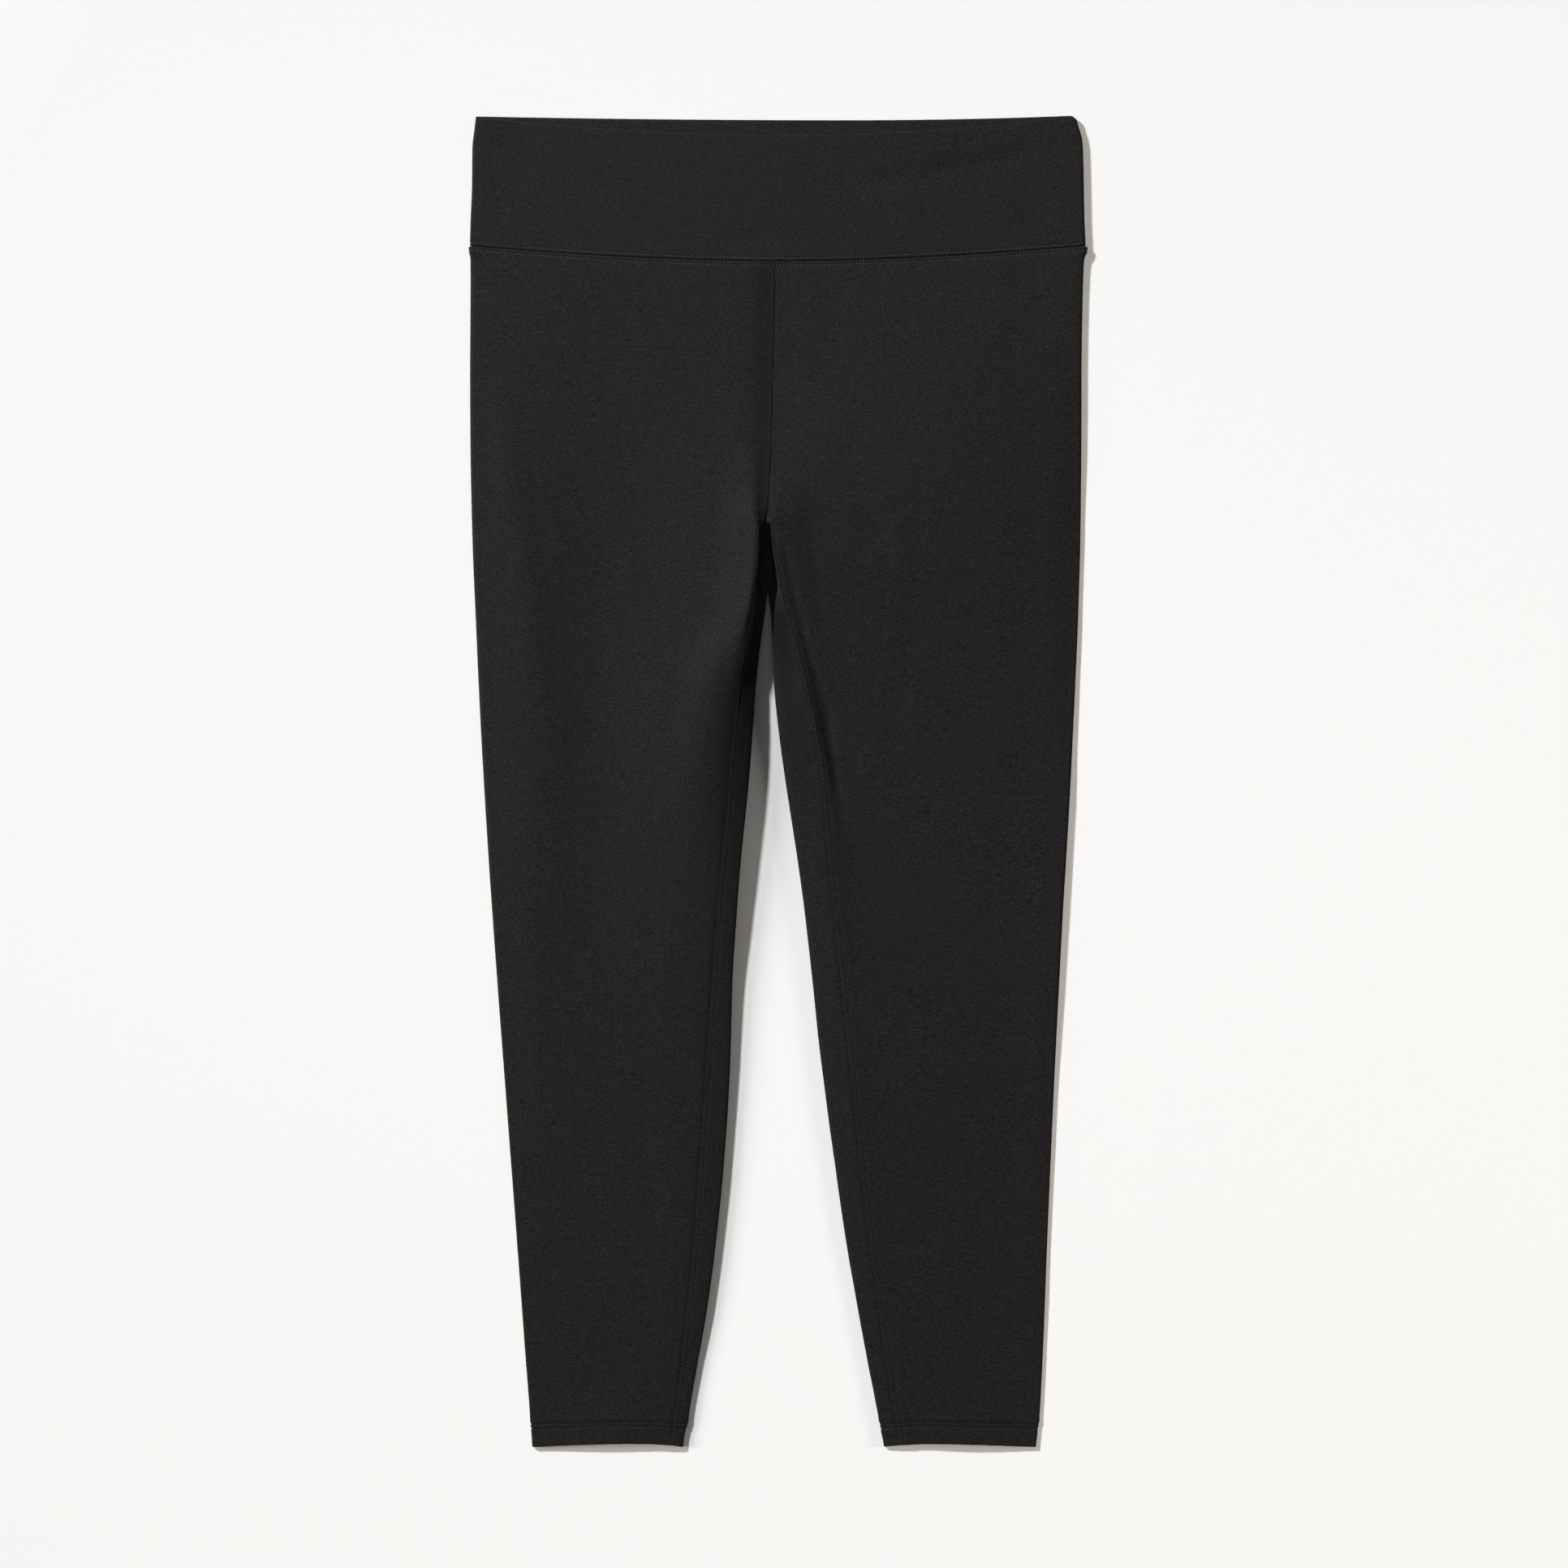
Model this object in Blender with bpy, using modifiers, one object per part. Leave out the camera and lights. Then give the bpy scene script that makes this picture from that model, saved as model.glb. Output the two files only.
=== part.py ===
"""High-rise 7/8 leggings in brushed knit, laid flat with the front up.

Each leg is one piece of cloth: it runs from the centre-front seam round the side fold and under to the centre-back
seam, and below the crotch it closes on itself. The waistband is a doubled front half and back half that meet at the
side folds. Every piece is an open sheet lofted through cross-sections, with a Solidify modifier for its thickness.

Frame: +X is the wearer's left, +Y points to the waistband, +Z is up. The origin lies on the surface, under the middle
of the garment. The tables below are in millimetres. "drop" is the distance down from the top of the waistband, and
widths are measured from the middle plane, outwards on the leg's own side.
"""

import math
from collections import namedtuple

import bmesh
import bpy
import numpy as np

MM = 0.001

# Driving dimensions, in millimetres.
LENGTH = 918.4  # top of the waistband to the lowest corner of the hems
CLOTH = 1.1  # one layer of the knit
BAND_CLOTH = 1.8  # the waistband's two layers, sewn face to face
SEAM_GAP = 0.3  # clearance between pieces that meet at a seam
BAND_FLAT = 4.4  # height of the laid waistband away from its side folds
EDGE_FADE = 34.0  # how far the waistband's puffed side folds take to settle to the flat height
HEM_LIFT = 1.9  # how far the front of a hem springs up from the flat height
HEM_LIFT_REACH = 46.0  # how far up the leg that lift fades out
HEM_ARCH_POWER = 0.68  # under 1 where the hem's edge rises most near the inner side

# The waist seam, as its drops at the middle and at the sides.
SEAM_DROP_MIDDLE = 101.0
SEAM_DROP_SIDE = 90.6
SEAM_CURVE_POWER = 1.75
HALF_WAIST = 212.0

# The waistband's two top edges: the drop of the lowest place, where it lies across, and the drops of the ends.
TopEdge = namedtuple("TopEdge", "lowest x right left")
FRONT_TOP = TopEdge(13.6, 0.0, 2.0, 0.4)
BACK_TOP = TopEdge(3.3, 40.0, 0.9, 0.0)
TOP_CURVE_POWER = 2.1
HALF_TOP = 203.0

# Where the two legs part on the surface, below the channel that starts at the crotch.
FORK_DROP = 326.8
LIP_FULLNESS = 0.86  # how square the hollow wall of that channel is, from 0 to 1
STRIP_SLOPE = 0.3  # fall of the strip between the inseam and the inner roll
SEAT_FADE_DROP = 240.0  # by here the curve of the waist seam has faded from the cross-sections

# Points round a leg's cross-section, for each stretch of it.
WALL_STEPS = 5
FRONT_STEPS = 13
FOLD_STEPS = 6
BACK_STEPS = 5
TUCK_STEPS = 3
STATION_STEP = 36.0  # the longest distance between two cross-sections
BAND_STATIONS = (0.0, 0.06, 0.22, 0.41, 0.60, 0.79, 0.94, 1.0)
BAND_STEPS = 20
BAND_FOLD_STEPS = 3

Centre = namedtuple("Centre", "drop x")
# The centre-front seam, and below the crotch the floor of the channel between the legs.
CENTRE_FRONT = (
    Centre(88.0, -2.2),
    Centre(132.0, -2.7),
    Centre(177.0, -3.8),
    Centre(222.0, -4.6),
    Centre(256.0, -6.0),
    Centre(276.0, -7.7),
    Centre(281.4, -9.0),
    Centre(296.0, -8.8),
    Centre(326.8, -7.1),
)
# The centre-back seam, on the underside.
CENTRE_BACK = (Centre(88.0, 0.0), Centre(200.0, -2.0), Centre(326.8, -7.1))

Side = namedtuple("Side", "drop out height")
# The side fold of each leg: how far out it lies, and how high it puffs.
RIGHT_SIDE = (
    Side(88.0, 212.7, 5.6),
    Side(93.4, 213.3, 6.0),
    Side(99.5, 212.2, 5.6),
    Side(120.0, 212.1, 5.8),
    Side(177.0, 212.4, 6.4),
    Side(222.0, 212.2, 6.8),
    Side(281.4, 211.1, 7.0),
    Side(345.0, 208.6, 7.2),
    Side(424.0, 204.9, 7.2),
    Side(513.0, 199.6, 6.6),
    Side(592.0, 194.1, 5.4),
    Side(681.0, 187.4, 4.2),
    Side(771.0, 180.6, 3.4),
    Side(860.0, 174.0, 3.1),
    Side(897.0, 171.2, 3.2),
    Side(903.4, 170.9, 3.4),
    Side(909.0, 170.2, 3.2),
    Side(918.4, 169.4, 3.2),
)
LEFT_SIDE = (
    Side(88.0, 212.2, 5.6),
    Side(93.4, 213.3, 6.0),
    Side(99.5, 211.0, 5.2),
    Side(120.0, 210.1, 4.9),
    Side(177.0, 209.2, 4.8),
    Side(222.0, 209.1, 4.6),
    Side(281.4, 208.6, 3.3),
    Side(345.0, 206.9, 3.1),
    Side(424.0, 203.4, 3.8),
    Side(480.0, 200.6, 5.0),
    Side(547.0, 196.5, 5.1),
    Side(592.0, 194.1, 4.8),
    Side(681.0, 189.7, 3.1),
    Side(771.0, 185.8, 2.8),
    Side(860.0, 182.3, 2.8),
    Side(897.0, 180.3, 3.0),
    Side(903.4, 179.8, 3.3),
    Side(909.0, 178.9, 3.1),
    Side(918.4, 177.6, 3.0),
)

Thigh = namedtuple("Thigh", "drop seam edge seam_h edge_h roll")
# The inner side of each leg. seam is the inseam, and above the crotch the line 8 mm beside the centre front. edge is
# the inner outline on the surface, used below the fork. seam_h is the seam's height and edge_h that of the outline or,
# in the channel, of its floor. roll is 0 where the wall between the two is hollow and 1 where it bulges.
RIGHT_THIGH = (
    Thigh(88.0, 10.2, 2.2, 4.6, 4.5, 0.5),
    Thigh(120.0, 10.6, 2.6, 4.3, 3.9, 0.5),
    Thigh(177.0, 11.8, 3.8, 4.4, 4.0, 0.5),
    Thigh(222.0, 12.6, 4.6, 7.0, 6.4, 0.5),
    Thigh(256.0, 13.8, 6.0, 12.4, 10.4, 0.5),
    Thigh(276.0, 14.2, 7.7, 18.2, 14.2, 0.6),
    Thigh(281.4, 13.5, 9.0, 19.4, 14.2, 0.7),
    Thigh(283.0, 13.3, 9.0, 19.2, 8.0, 0.3),
    Thigh(288.0, 13.3, 9.0, 19.2, 4.6, 0.0),
    Thigh(297.0, 13.5, 8.7, 19.2, 3.4, 0.0),
    Thigh(310.0, 14.0, 8.0, 19.1, 2.8, 0.0),
    Thigh(325.3, 15.6, 7.2, 18.8, 2.5, 0.05),
    Thigh(326.8, 15.7, 7.1, 18.7, 1.2, 0.05),
    Thigh(334.0, 16.4, 7.9, 18.5, 2.0, 0.09),
    Thigh(345.0, 17.8, 9.4, 18.2, 3.2, 0.18),
    Thigh(368.0, 21.7, 12.7, 17.4, 5.8, 0.4),
    Thigh(396.0, 26.4, 15.5, 16.2, 8.2, 0.64),
    Thigh(424.0, 29.5, 17.4, 15.2, 9.8, 0.85),
    Thigh(452.0, 32.2, 19.5, 14.3, 10.4, 0.96),
    Thigh(480.0, 34.3, 22.1, 13.4, 10.4, 1.0),
    Thigh(513.0, 37.4, 25.5, 12.8, 10.0, 1.0),
    Thigh(547.0, 40.5, 28.3, 11.8, 8.8, 1.0),
    Thigh(592.0, 43.9, 31.2, 10.2, 6.8, 1.0),
    Thigh(636.0, 47.0, 32.5, 9.0, 5.4, 1.0),
    Thigh(681.0, 50.0, 34.3, 8.2, 4.7, 1.0),
    Thigh(726.0, 53.2, 37.7, 7.7, 4.4, 1.0),
    Thigh(771.0, 56.6, 42.1, 7.2, 4.2, 1.0),
    Thigh(816.0, 60.9, 47.9, 6.4, 3.9, 1.0),
    Thigh(860.0, 65.7, 55.3, 5.4, 2.9, 1.0),
    Thigh(897.0, 69.9, 61.7, 5.0, 2.5, 1.0),
    Thigh(903.4, 70.8, 62.4, 5.0, 2.5, 1.0),
    Thigh(909.0, 71.6, 64.5, 4.8, 2.4, 1.0),
    Thigh(918.4, 72.8, 65.7, 4.6, 2.3, 1.0),
)
LEFT_THIGH = (
    Thigh(88.0, 5.8, -2.2, 4.6, 4.5, 0.5),
    Thigh(120.0, 5.4, -2.6, 4.3, 3.9, 0.5),
    Thigh(177.0, 4.2, -3.8, 4.6, 4.0, 0.5),
    Thigh(222.0, 3.0, -4.6, 6.8, 6.4, 0.5),
    Thigh(256.0, 1.0, -6.0, 11.2, 10.4, 0.5),
    Thigh(276.0, -2.4, -7.7, 15.4, 14.2, 0.6),
    Thigh(281.4, -4.6, -9.0, 15.8, 14.2, 0.7),
    Thigh(283.0, -4.8, -9.0, 15.8, 8.0, 0.3),
    Thigh(288.0, -4.6, -9.0, 15.8, 4.6, 0.0),
    Thigh(297.0, -3.8, -8.7, 15.6, 3.4, 0.0),
    Thigh(310.0, -1.8, -8.0, 15.0, 2.8, 0.0),
    Thigh(325.3, 0.8, -7.2, 14.0, 2.5, 0.1),
    Thigh(326.8, 1.1, -7.1, 13.8, 1.2, 0.2),
    Thigh(334.0, 2.7, -6.4, 13.4, 2.4, 0.5),
    Thigh(345.0, 5.8, -4.9, 12.8, 4.0, 0.8),
    Thigh(368.0, 12.8, -4.0, 11.8, 4.8, 1.0),
    Thigh(396.0, 20.3, -2.7, 11.0, 4.6, 1.0),
    Thigh(424.0, 26.2, 0.2, 10.2, 4.0, 1.0),
    Thigh(452.0, 30.4, 3.9, 9.2, 3.3, 1.0),
    Thigh(480.0, 32.8, 8.1, 8.4, 3.3, 1.0),
    Thigh(513.0, 35.9, 13.2, 7.6, 3.2, 1.0),
    Thigh(547.0, 39.2, 17.9, 7.0, 3.1, 1.0),
    Thigh(592.0, 43.8, 23.1, 6.4, 2.9, 1.0),
    Thigh(636.0, 48.6, 27.6, 6.0, 2.8, 1.0),
    Thigh(681.0, 53.2, 33.3, 5.7, 2.7, 1.0),
    Thigh(726.0, 58.0, 39.4, 5.4, 2.6, 1.0),
    Thigh(771.0, 63.4, 45.9, 5.0, 2.4, 1.0),
    Thigh(816.0, 69.6, 53.5, 4.6, 2.2, 1.0),
    Thigh(860.0, 75.7, 61.7, 4.2, 2.0, 1.0),
    Thigh(897.0, 81.5, 69.0, 4.2, 2.0, 1.0),
    Thigh(903.4, 82.6, 70.0, 4.2, 2.0, 1.0),
    Thigh(909.0, 83.6, 71.2, 4.2, 2.0, 1.0),
    Thigh(918.4, 85.0, 73.2, 4.2, 2.0, 1.0),
)

Fold = namedtuple("Fold", "drop at height")
# The lines of a leg's large soft folds, running down its front, from the inseam outwards: how far across the front
# each lies, from 0 at the seam to 1 at the top of the side fold, and how high.
RIGHT_FOLDS = (
    (  # the brink beside the inseam
        Fold(88.0, 0.02, 4.6),
        Fold(177.0, 0.02, 4.7),
        Fold(222.0, 0.015, 7.2),
        Fold(256.0, 0.012, 12.8),
        Fold(283.0, 0.012, 19.8),
        Fold(326.0, 0.014, 20.2),
        Fold(345.0, 0.022, 20.6),
        Fold(368.0, 0.035, 19.4),
        Fold(396.0, 0.045, 17.4),
        Fold(435.0, 0.045, 15.2),
        Fold(480.0, 0.045, 13.8),
        Fold(547.0, 0.045, 12.2),
        Fold(592.0, 0.045, 10.7),
        Fold(648.0, 0.05, 9.0),
        Fold(760.0, 0.05, 7.4),
        Fold(860.0, 0.05, 5.6),
        Fold(918.4, 0.05, 4.7),
    ),
    (  # the ridge along the inner thigh
        Fold(88.0, 0.07, 4.6),
        Fold(177.0, 0.07, 5.0),
        Fold(222.0, 0.06, 7.1),
        Fold(256.0, 0.05, 11.2),
        Fold(283.0, 0.045, 16.4),
        Fold(326.0, 0.05, 17.0),
        Fold(345.0, 0.06, 18.2),
        Fold(368.0, 0.08, 19.0),
        Fold(396.0, 0.10, 17.8),
        Fold(435.0, 0.12, 15.5),
        Fold(480.0, 0.14, 13.7),
        Fold(547.0, 0.15, 12.0),
        Fold(592.0, 0.14, 10.7),
        Fold(648.0, 0.13, 9.1),
        Fold(760.0, 0.12, 7.4),
        Fold(860.0, 0.12, 5.6),
        Fold(918.4, 0.12, 4.7),
    ),
    (  # the ridge's outer flank
        Fold(88.0, 0.22, 4.5),
        Fold(177.0, 0.20, 4.7),
        Fold(256.0, 0.16, 7.4),
        Fold(300.0, 0.15, 9.6),
        Fold(345.0, 0.19, 11.0),
        Fold(396.0, 0.25, 11.6),
        Fold(435.0, 0.30, 11.0),
        Fold(513.0, 0.34, 10.4),
        Fold(592.0, 0.34, 9.2),
        Fold(648.0, 0.34, 8.1),
        Fold(760.0, 0.34, 6.5),
        Fold(860.0, 0.32, 5.0),
        Fold(918.4, 0.32, 4.2),
    ),
    (  # the shallow valley down the middle of the leg
        Fold(88.0, 0.45, 4.4),
        Fold(256.0, 0.48, 4.2),
        Fold(345.0, 0.54, 5.0),
        Fold(400.0, 0.55, 6.2),
        Fold(460.0, 0.54, 7.4),
        Fold(513.0, 0.56, 8.0),
        Fold(592.0, 0.58, 7.6),
        Fold(704.0, 0.58, 6.2),
        Fold(816.0, 0.55, 4.7),
        Fold(918.4, 0.55, 3.6),
    ),
    (  # the brow beside the side fold
        Fold(88.0, 0.88, 5.8),
        Fold(188.0, 0.87, 7.2),
        Fold(256.0, 0.87, 8.4),
        Fold(345.0, 0.84, 9.6),
        Fold(424.0, 0.82, 10.0),
        Fold(513.0, 0.82, 9.6),
        Fold(592.0, 0.82, 7.8),
        Fold(704.0, 0.83, 5.5),
        Fold(816.0, 0.84, 4.2),
        Fold(918.4, 0.86, 3.4),
    ),
)
LEFT_FOLDS = (
    (  # the foot of the crease beside the inseam
        Fold(88.0, 0.04, 4.6),
        Fold(177.0, 0.04, 5.2),
        Fold(222.0, 0.04, 7.4),
        Fold(256.0, 0.04, 11.2),
        Fold(283.0, 0.04, 14.8),
        Fold(326.0, 0.04, 12.6),
        Fold(368.0, 0.04, 9.6),
        Fold(424.0, 0.04, 6.8),
        Fold(452.0, 0.06, 6.6),
        Fold(513.0, 0.08, 6.0),
        Fold(592.0, 0.09, 5.6),
        Fold(816.0, 0.10, 4.2),
        Fold(918.4, 0.10, 4.0),
    ),
    (  # the trough between that crease and the thigh
        Fold(88.0, 0.16, 4.5),
        Fold(177.0, 0.16, 6.6),
        Fold(222.0, 0.16, 8.8),
        Fold(256.0, 0.16, 10.2),
        Fold(300.0, 0.17, 11.0),
        Fold(345.0, 0.18, 8.6),
        Fold(400.0, 0.18, 6.6),
        Fold(480.0, 0.18, 5.6),
        Fold(592.0, 0.20, 5.2),
        Fold(816.0, 0.22, 4.1),
        Fold(918.4, 0.22, 3.8),
    ),
    (  # the broad swell over the thigh
        Fold(88.0, 0.36, 4.6),
        Fold(177.0, 0.36, 8.0),
        Fold(222.0, 0.38, 9.8),
        Fold(256.0, 0.41, 10.6),
        Fold(300.0, 0.43, 10.4),
        Fold(345.0, 0.42, 8.8),
        Fold(400.0, 0.44, 6.8),
        Fold(480.0, 0.44, 5.9),
        Fold(592.0, 0.44, 5.2),
        Fold(760.0, 0.44, 4.2),
        Fold(918.4, 0.44, 3.6),
    ),
    (  # the brow beside the side fold
        Fold(88.0, 0.88, 5.4),
        Fold(188.0, 0.90, 6.9),
        Fold(256.0, 0.90, 7.4),
        Fold(300.0, 0.90, 6.7),
        Fold(368.0, 0.90, 5.5),
        Fold(480.0, 0.90, 5.8),
        Fold(592.0, 0.90, 5.4),
        Fold(704.0, 0.90, 3.8),
        Fold(918.4, 0.88, 3.3),
    ),
)

Leg = namedtuple("Leg", "name sign side thigh folds hem_rise")
LEGS = (
    Leg("leg_right", -1, RIGHT_SIDE, RIGHT_THIGH, RIGHT_FOLDS, 2.6),
    Leg("leg_left", 1, LEFT_SIDE, LEFT_THIGH, LEFT_FOLDS, 2.3),
)

# The waistband's own side folds: the drop, and how far out each side lies.
BandSide = namedtuple("BandSide", "drop right left")
BAND_SIDE = (
    BandSide(0.0, 208.5, 203.0),
    BandSide(2.5, 208.8, 205.6),
    BandSide(6.4, 209.2, 206.8),
    BandSide(14.8, 210.3, 209.3),
    BandSide(20.4, 210.8, 210.0),
    BandSide(48.4, 211.1, 210.7),
    BandSide(70.8, 212.0, 211.1),
    BandSide(90.0, 212.6, 212.0),
)
BAND_EDGE_HEIGHT = 5.4
BAND_UPRIGHT = 0.35  # the part of the fold beside its seam that stands upright

CHARCOAL = (0.0195, 0.0188, 0.0180, 1.0)
KNIT_ROUGHNESS = 0.9


def curve(x, y, at):
    """The height at a place on a smooth curve through points that never overshoots them (monotone cubic)."""
    x, y = np.array(x), np.array(y)
    step = np.diff(x)
    slope = np.diff(y) / step
    tangent = np.zeros(len(x))
    tangent[0], tangent[-1] = slope[0], slope[-1]
    same_way = slope[:-1] * slope[1:] > 0
    total = np.where(same_way, slope[:-1] + slope[1:], 1.0)
    tangent[1:-1] = np.where(same_way, 2 * slope[:-1] * slope[1:] / total, 0.0)
    k = int(np.clip(np.searchsorted(x, at) - 1, 0, len(step) - 1))
    t = min(max((at - x[k]) / step[k], 0.0), 1.0)
    return float(
        (2 * t**3 - 3 * t**2 + 1) * y[k]
        + (t**3 - 2 * t**2 + t) * step[k] * tangent[k]
        + (3 * t**2 - 2 * t**3) * y[k + 1]
        + (t**3 - t**2) * step[k] * tangent[k + 1]
    )


def smooth(rows, column, at):
    """A column of a table at any drop."""
    return curve([row.drop for row in rows], [getattr(row, column) for row in rows], at)


def settle(distance, reach):
    """1 at no distance, falling softly to 0 at reach and beyond."""
    return math.cos(math.pi / 2 * min(max(distance / reach, 0.0), 1.0)) ** 2


def seam_drop(x):
    """Drop of the waist seam, which sags towards the middle."""
    share = min(abs(x) / HALF_WAIST, 1.0) ** SEAM_CURVE_POWER
    return SEAM_DROP_MIDDLE + (SEAM_DROP_SIDE - SEAM_DROP_MIDDLE) * share


def point(x, drop, z):
    """A place on the garment as a point of the frame, in metres."""
    return (x * MM, (LENGTH / 2 - drop) * MM, z * MM)


def stations(leg):
    """The drops at which a leg is cut into cross-sections: its tables' rows, and more between rows far apart."""
    rows = sorted({row.drop for row in leg.thigh + leg.side})
    rows[0] = SEAM_DROP_SIDE + SEAM_GAP / 2
    found = []
    for low, high in zip(rows, rows[1:]):
        parts = math.ceil((high - low) / STATION_STEP)
        found += [low + (high - low) * k / parts for k in range(parts)]
    return found + [rows[-1]]


def inner_end(leg, drop):
    """How far out the section starts: beside the centre seam down to the fork, and at the inner outline below it."""
    if drop > FORK_DROP:
        return smooth(leg.thigh, "edge", drop)
    return leg.sign * smooth(CENTRE_FRONT, "x", drop) + SEAM_GAP / 2


def hem_lift(leg, drop, across):
    """How far the front springs up near the hem, most in the middle of it. across runs from 0 to 1 over the front."""
    return HEM_LIFT * settle(LENGTH - drop, HEM_LIFT_REACH) * math.sin(math.pi * across) ** 2


def front_profile(leg, drop):
    """The places across a leg's front that its fold lines pass, from 0 at the seam to 1 at the top of the side fold,
    and their heights."""
    places = [0.0] + [smooth(line, "at", drop) for line in leg.folds] + [1.0]
    heights = [smooth(leg.thigh, "seam_h", drop)]
    heights += [smooth(line, "height", drop) for line in leg.folds]
    heights.append(smooth(leg.side, "height", drop))
    return places, heights


def bezier(a, b, c, d, t):
    """A point on a cubic Bezier curve between (width, height) pairs."""
    return tuple(
        (1 - t) ** 3 * p + 3 * (1 - t) ** 2 * t * q + 3 * (1 - t) * t**2 * r + t**3 * s
        for p, q, r, s in zip(a, b, c, d)
    )


def wall(leg, drop):
    """The inner wall from its foot up to the seam, as the four (width, height) pairs of a Bezier curve. It is a
    hollow quarter curve in the channel below the crotch, and a bulging roll under a gentle strip further down."""
    seam = smooth(leg.thigh, "seam", drop)
    seam_h = smooth(leg.thigh, "seam_h", drop)
    foot = inner_end(leg, drop)
    foot_h = smooth(leg.thigh, "edge_h", drop)
    roll = smooth(leg.thigh, "roll", drop)
    across, rise = seam - foot, seam_h - foot_h
    hollow = ((foot + LIP_FULLNESS * across, foot_h), (seam, seam_h - LIP_FULLNESS * rise))
    shoulder_h = max(seam_h - STRIP_SLOPE * across, foot_h + 0.5 * rise)
    bulge = ((foot, foot_h + 0.9 * (shoulder_h - foot_h)), (foot + 0.2 * across, shoulder_h))
    mixed = [
        tuple(h * (1 - roll) + b * roll for h, b in zip(*pair))
        for pair in zip(hollow, bulge)
    ]
    return ((foot, foot_h), *mixed, (seam, seam_h))


def leg_section(leg, drop):
    """The outer skin of a leg at a drop, as (width, height) pairs: up the inner wall, over the front, round the side
    fold, along the underside and up to where it began."""
    seam = smooth(leg.thigh, "seam", drop)
    out = smooth(leg.side, "out", drop)
    fold = smooth(leg.side, "height", drop) / 2
    foot = wall(leg, drop)[0]
    section = [bezier(*wall(leg, drop), k / WALL_STEPS) for k in range(WALL_STEPS)]
    profile = front_profile(leg, drop)
    for k in range(FRONT_STEPS):
        share = k / FRONT_STEPS
        share -= 0.09 * math.sin(2 * math.pi * share)
        height = curve(*profile, share) + hem_lift(leg, drop, share)
        section.append((seam + (out - fold - seam) * share, height))
    for k in range(FOLD_STEPS):
        turn = math.pi * (0.5 - k / FOLD_STEPS)
        section.append((out - fold + fold * math.cos(turn), fold + fold * math.sin(turn)))
    if drop < FORK_DROP:
        end, end_h = leg.sign * smooth(CENTRE_BACK, "x", drop) + SEAM_GAP / 2, 0.0
    else:
        end, end_h = foot
    tuck = max(end_h, 3.0)
    for k in range(BACK_STEPS):
        share = k / BACK_STEPS
        section.append((out - fold + (end + tuck - out + fold) * share, 0.0))
    for k in range(TUCK_STEPS + 1):
        turn = math.pi / 2 * k / TUCK_STEPS
        section.append((end + tuck * (1 - math.sin(turn)), end_h * (1 - math.cos(turn))))
    return section


def leg_grid(leg):
    """The points of a leg's outer skin, a list for each cross-section. The waist seam's sag bends the upper ones, and
    the hem's rise the lowest."""
    grid = []
    for drop in stations(leg):
        seat = settle(drop - SEAM_DROP_SIDE, SEAT_FADE_DROP - SEAM_DROP_SIDE)
        hem = leg.hem_rise * settle(LENGTH - drop, HEM_LIFT_REACH)
        out = smooth(leg.side, "out", drop)
        inner = smooth(leg.thigh, "edge", drop)
        row = []
        for width, height in leg_section(leg, drop):
            x = leg.sign * width
            sag = (seam_drop(x) - SEAM_DROP_SIDE) * seat
            arch = min(max((width - inner) / (out - inner), 0.0), 1.0) ** HEM_ARCH_POWER
            rise = hem * math.sin(math.pi * arch)
            row.append(point(x, drop + sag - rise, height))
        grid.append(row)
    return grid


def band_section(front, right, left):
    """The outer face of one half of the waistband across the garment, as (x, height) pairs from the seam in the right
    side fold to the one in the left. Beside the seam the fold stands upright."""
    middle = BAND_EDGE_HEIGHT / 2
    up = 1 if front else -1
    bend = middle - SEAM_GAP / 2 - BAND_UPRIGHT
    turns = [math.pi / 2 * k / BAND_FOLD_STEPS for k in range(BAND_FOLD_STEPS)]
    arc = [(0.0, SEAM_GAP / 2)]
    arc += [(bend - bend * math.cos(a), SEAM_GAP / 2 + BAND_UPRIGHT + bend * math.sin(a)) for a in turns]
    line = [(inward - right, middle + up * rise) for inward, rise in arc]
    for k in range(BAND_STEPS + 1):
        x = bend - right + (right + left - 2 * bend) * k / BAND_STEPS
        near = min(x + right, left - x) - bend
        puff = BAND_FLAT + (BAND_EDGE_HEIGHT - BAND_FLAT) * settle(near, EDGE_FADE)
        line.append((x, puff if front else 0.0))
    line += [(left - inward, middle + up * rise) for inward, rise in arc[::-1]]
    return line


def band_grid(front):
    """The points of one half of the waistband, a list for each line along it from its top edge to the waist seam."""
    edge = FRONT_TOP if front else BACK_TOP
    grid = []
    for share in BAND_STATIONS:
        at_side = SEAM_DROP_SIDE * share
        right = smooth(BAND_SIDE, "right", at_side)
        left = smooth(BAND_SIDE, "left", at_side)
        row = []
        for x, height in band_section(front, right, left):
            from_lowest = x - edge.x
            end = edge.left if from_lowest > 0 else edge.right
            reach = HALF_TOP - edge.x if from_lowest > 0 else HALF_TOP + edge.x
            bend = min(abs(from_lowest) / reach, 1.0) ** TOP_CURVE_POWER
            top = edge.lowest + (end - edge.lowest) * bend
            bottom = seam_drop(x) - SEAM_GAP / 2
            row.append(point(x, top + (bottom - top) * share, height))
        grid.append(row)
    return grid


def knit_material(name):
    """A plain charcoal cloth."""
    material = bpy.data.materials.new(name)
    material.use_nodes = True
    shader = material.node_tree.nodes["Principled BSDF"]
    shader.inputs["Base Color"].default_value = CHARCOAL
    shader.inputs["Roughness"].default_value = KNIT_ROUGHNESS
    shader.inputs["Metallic"].default_value = 0.0
    return material


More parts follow.
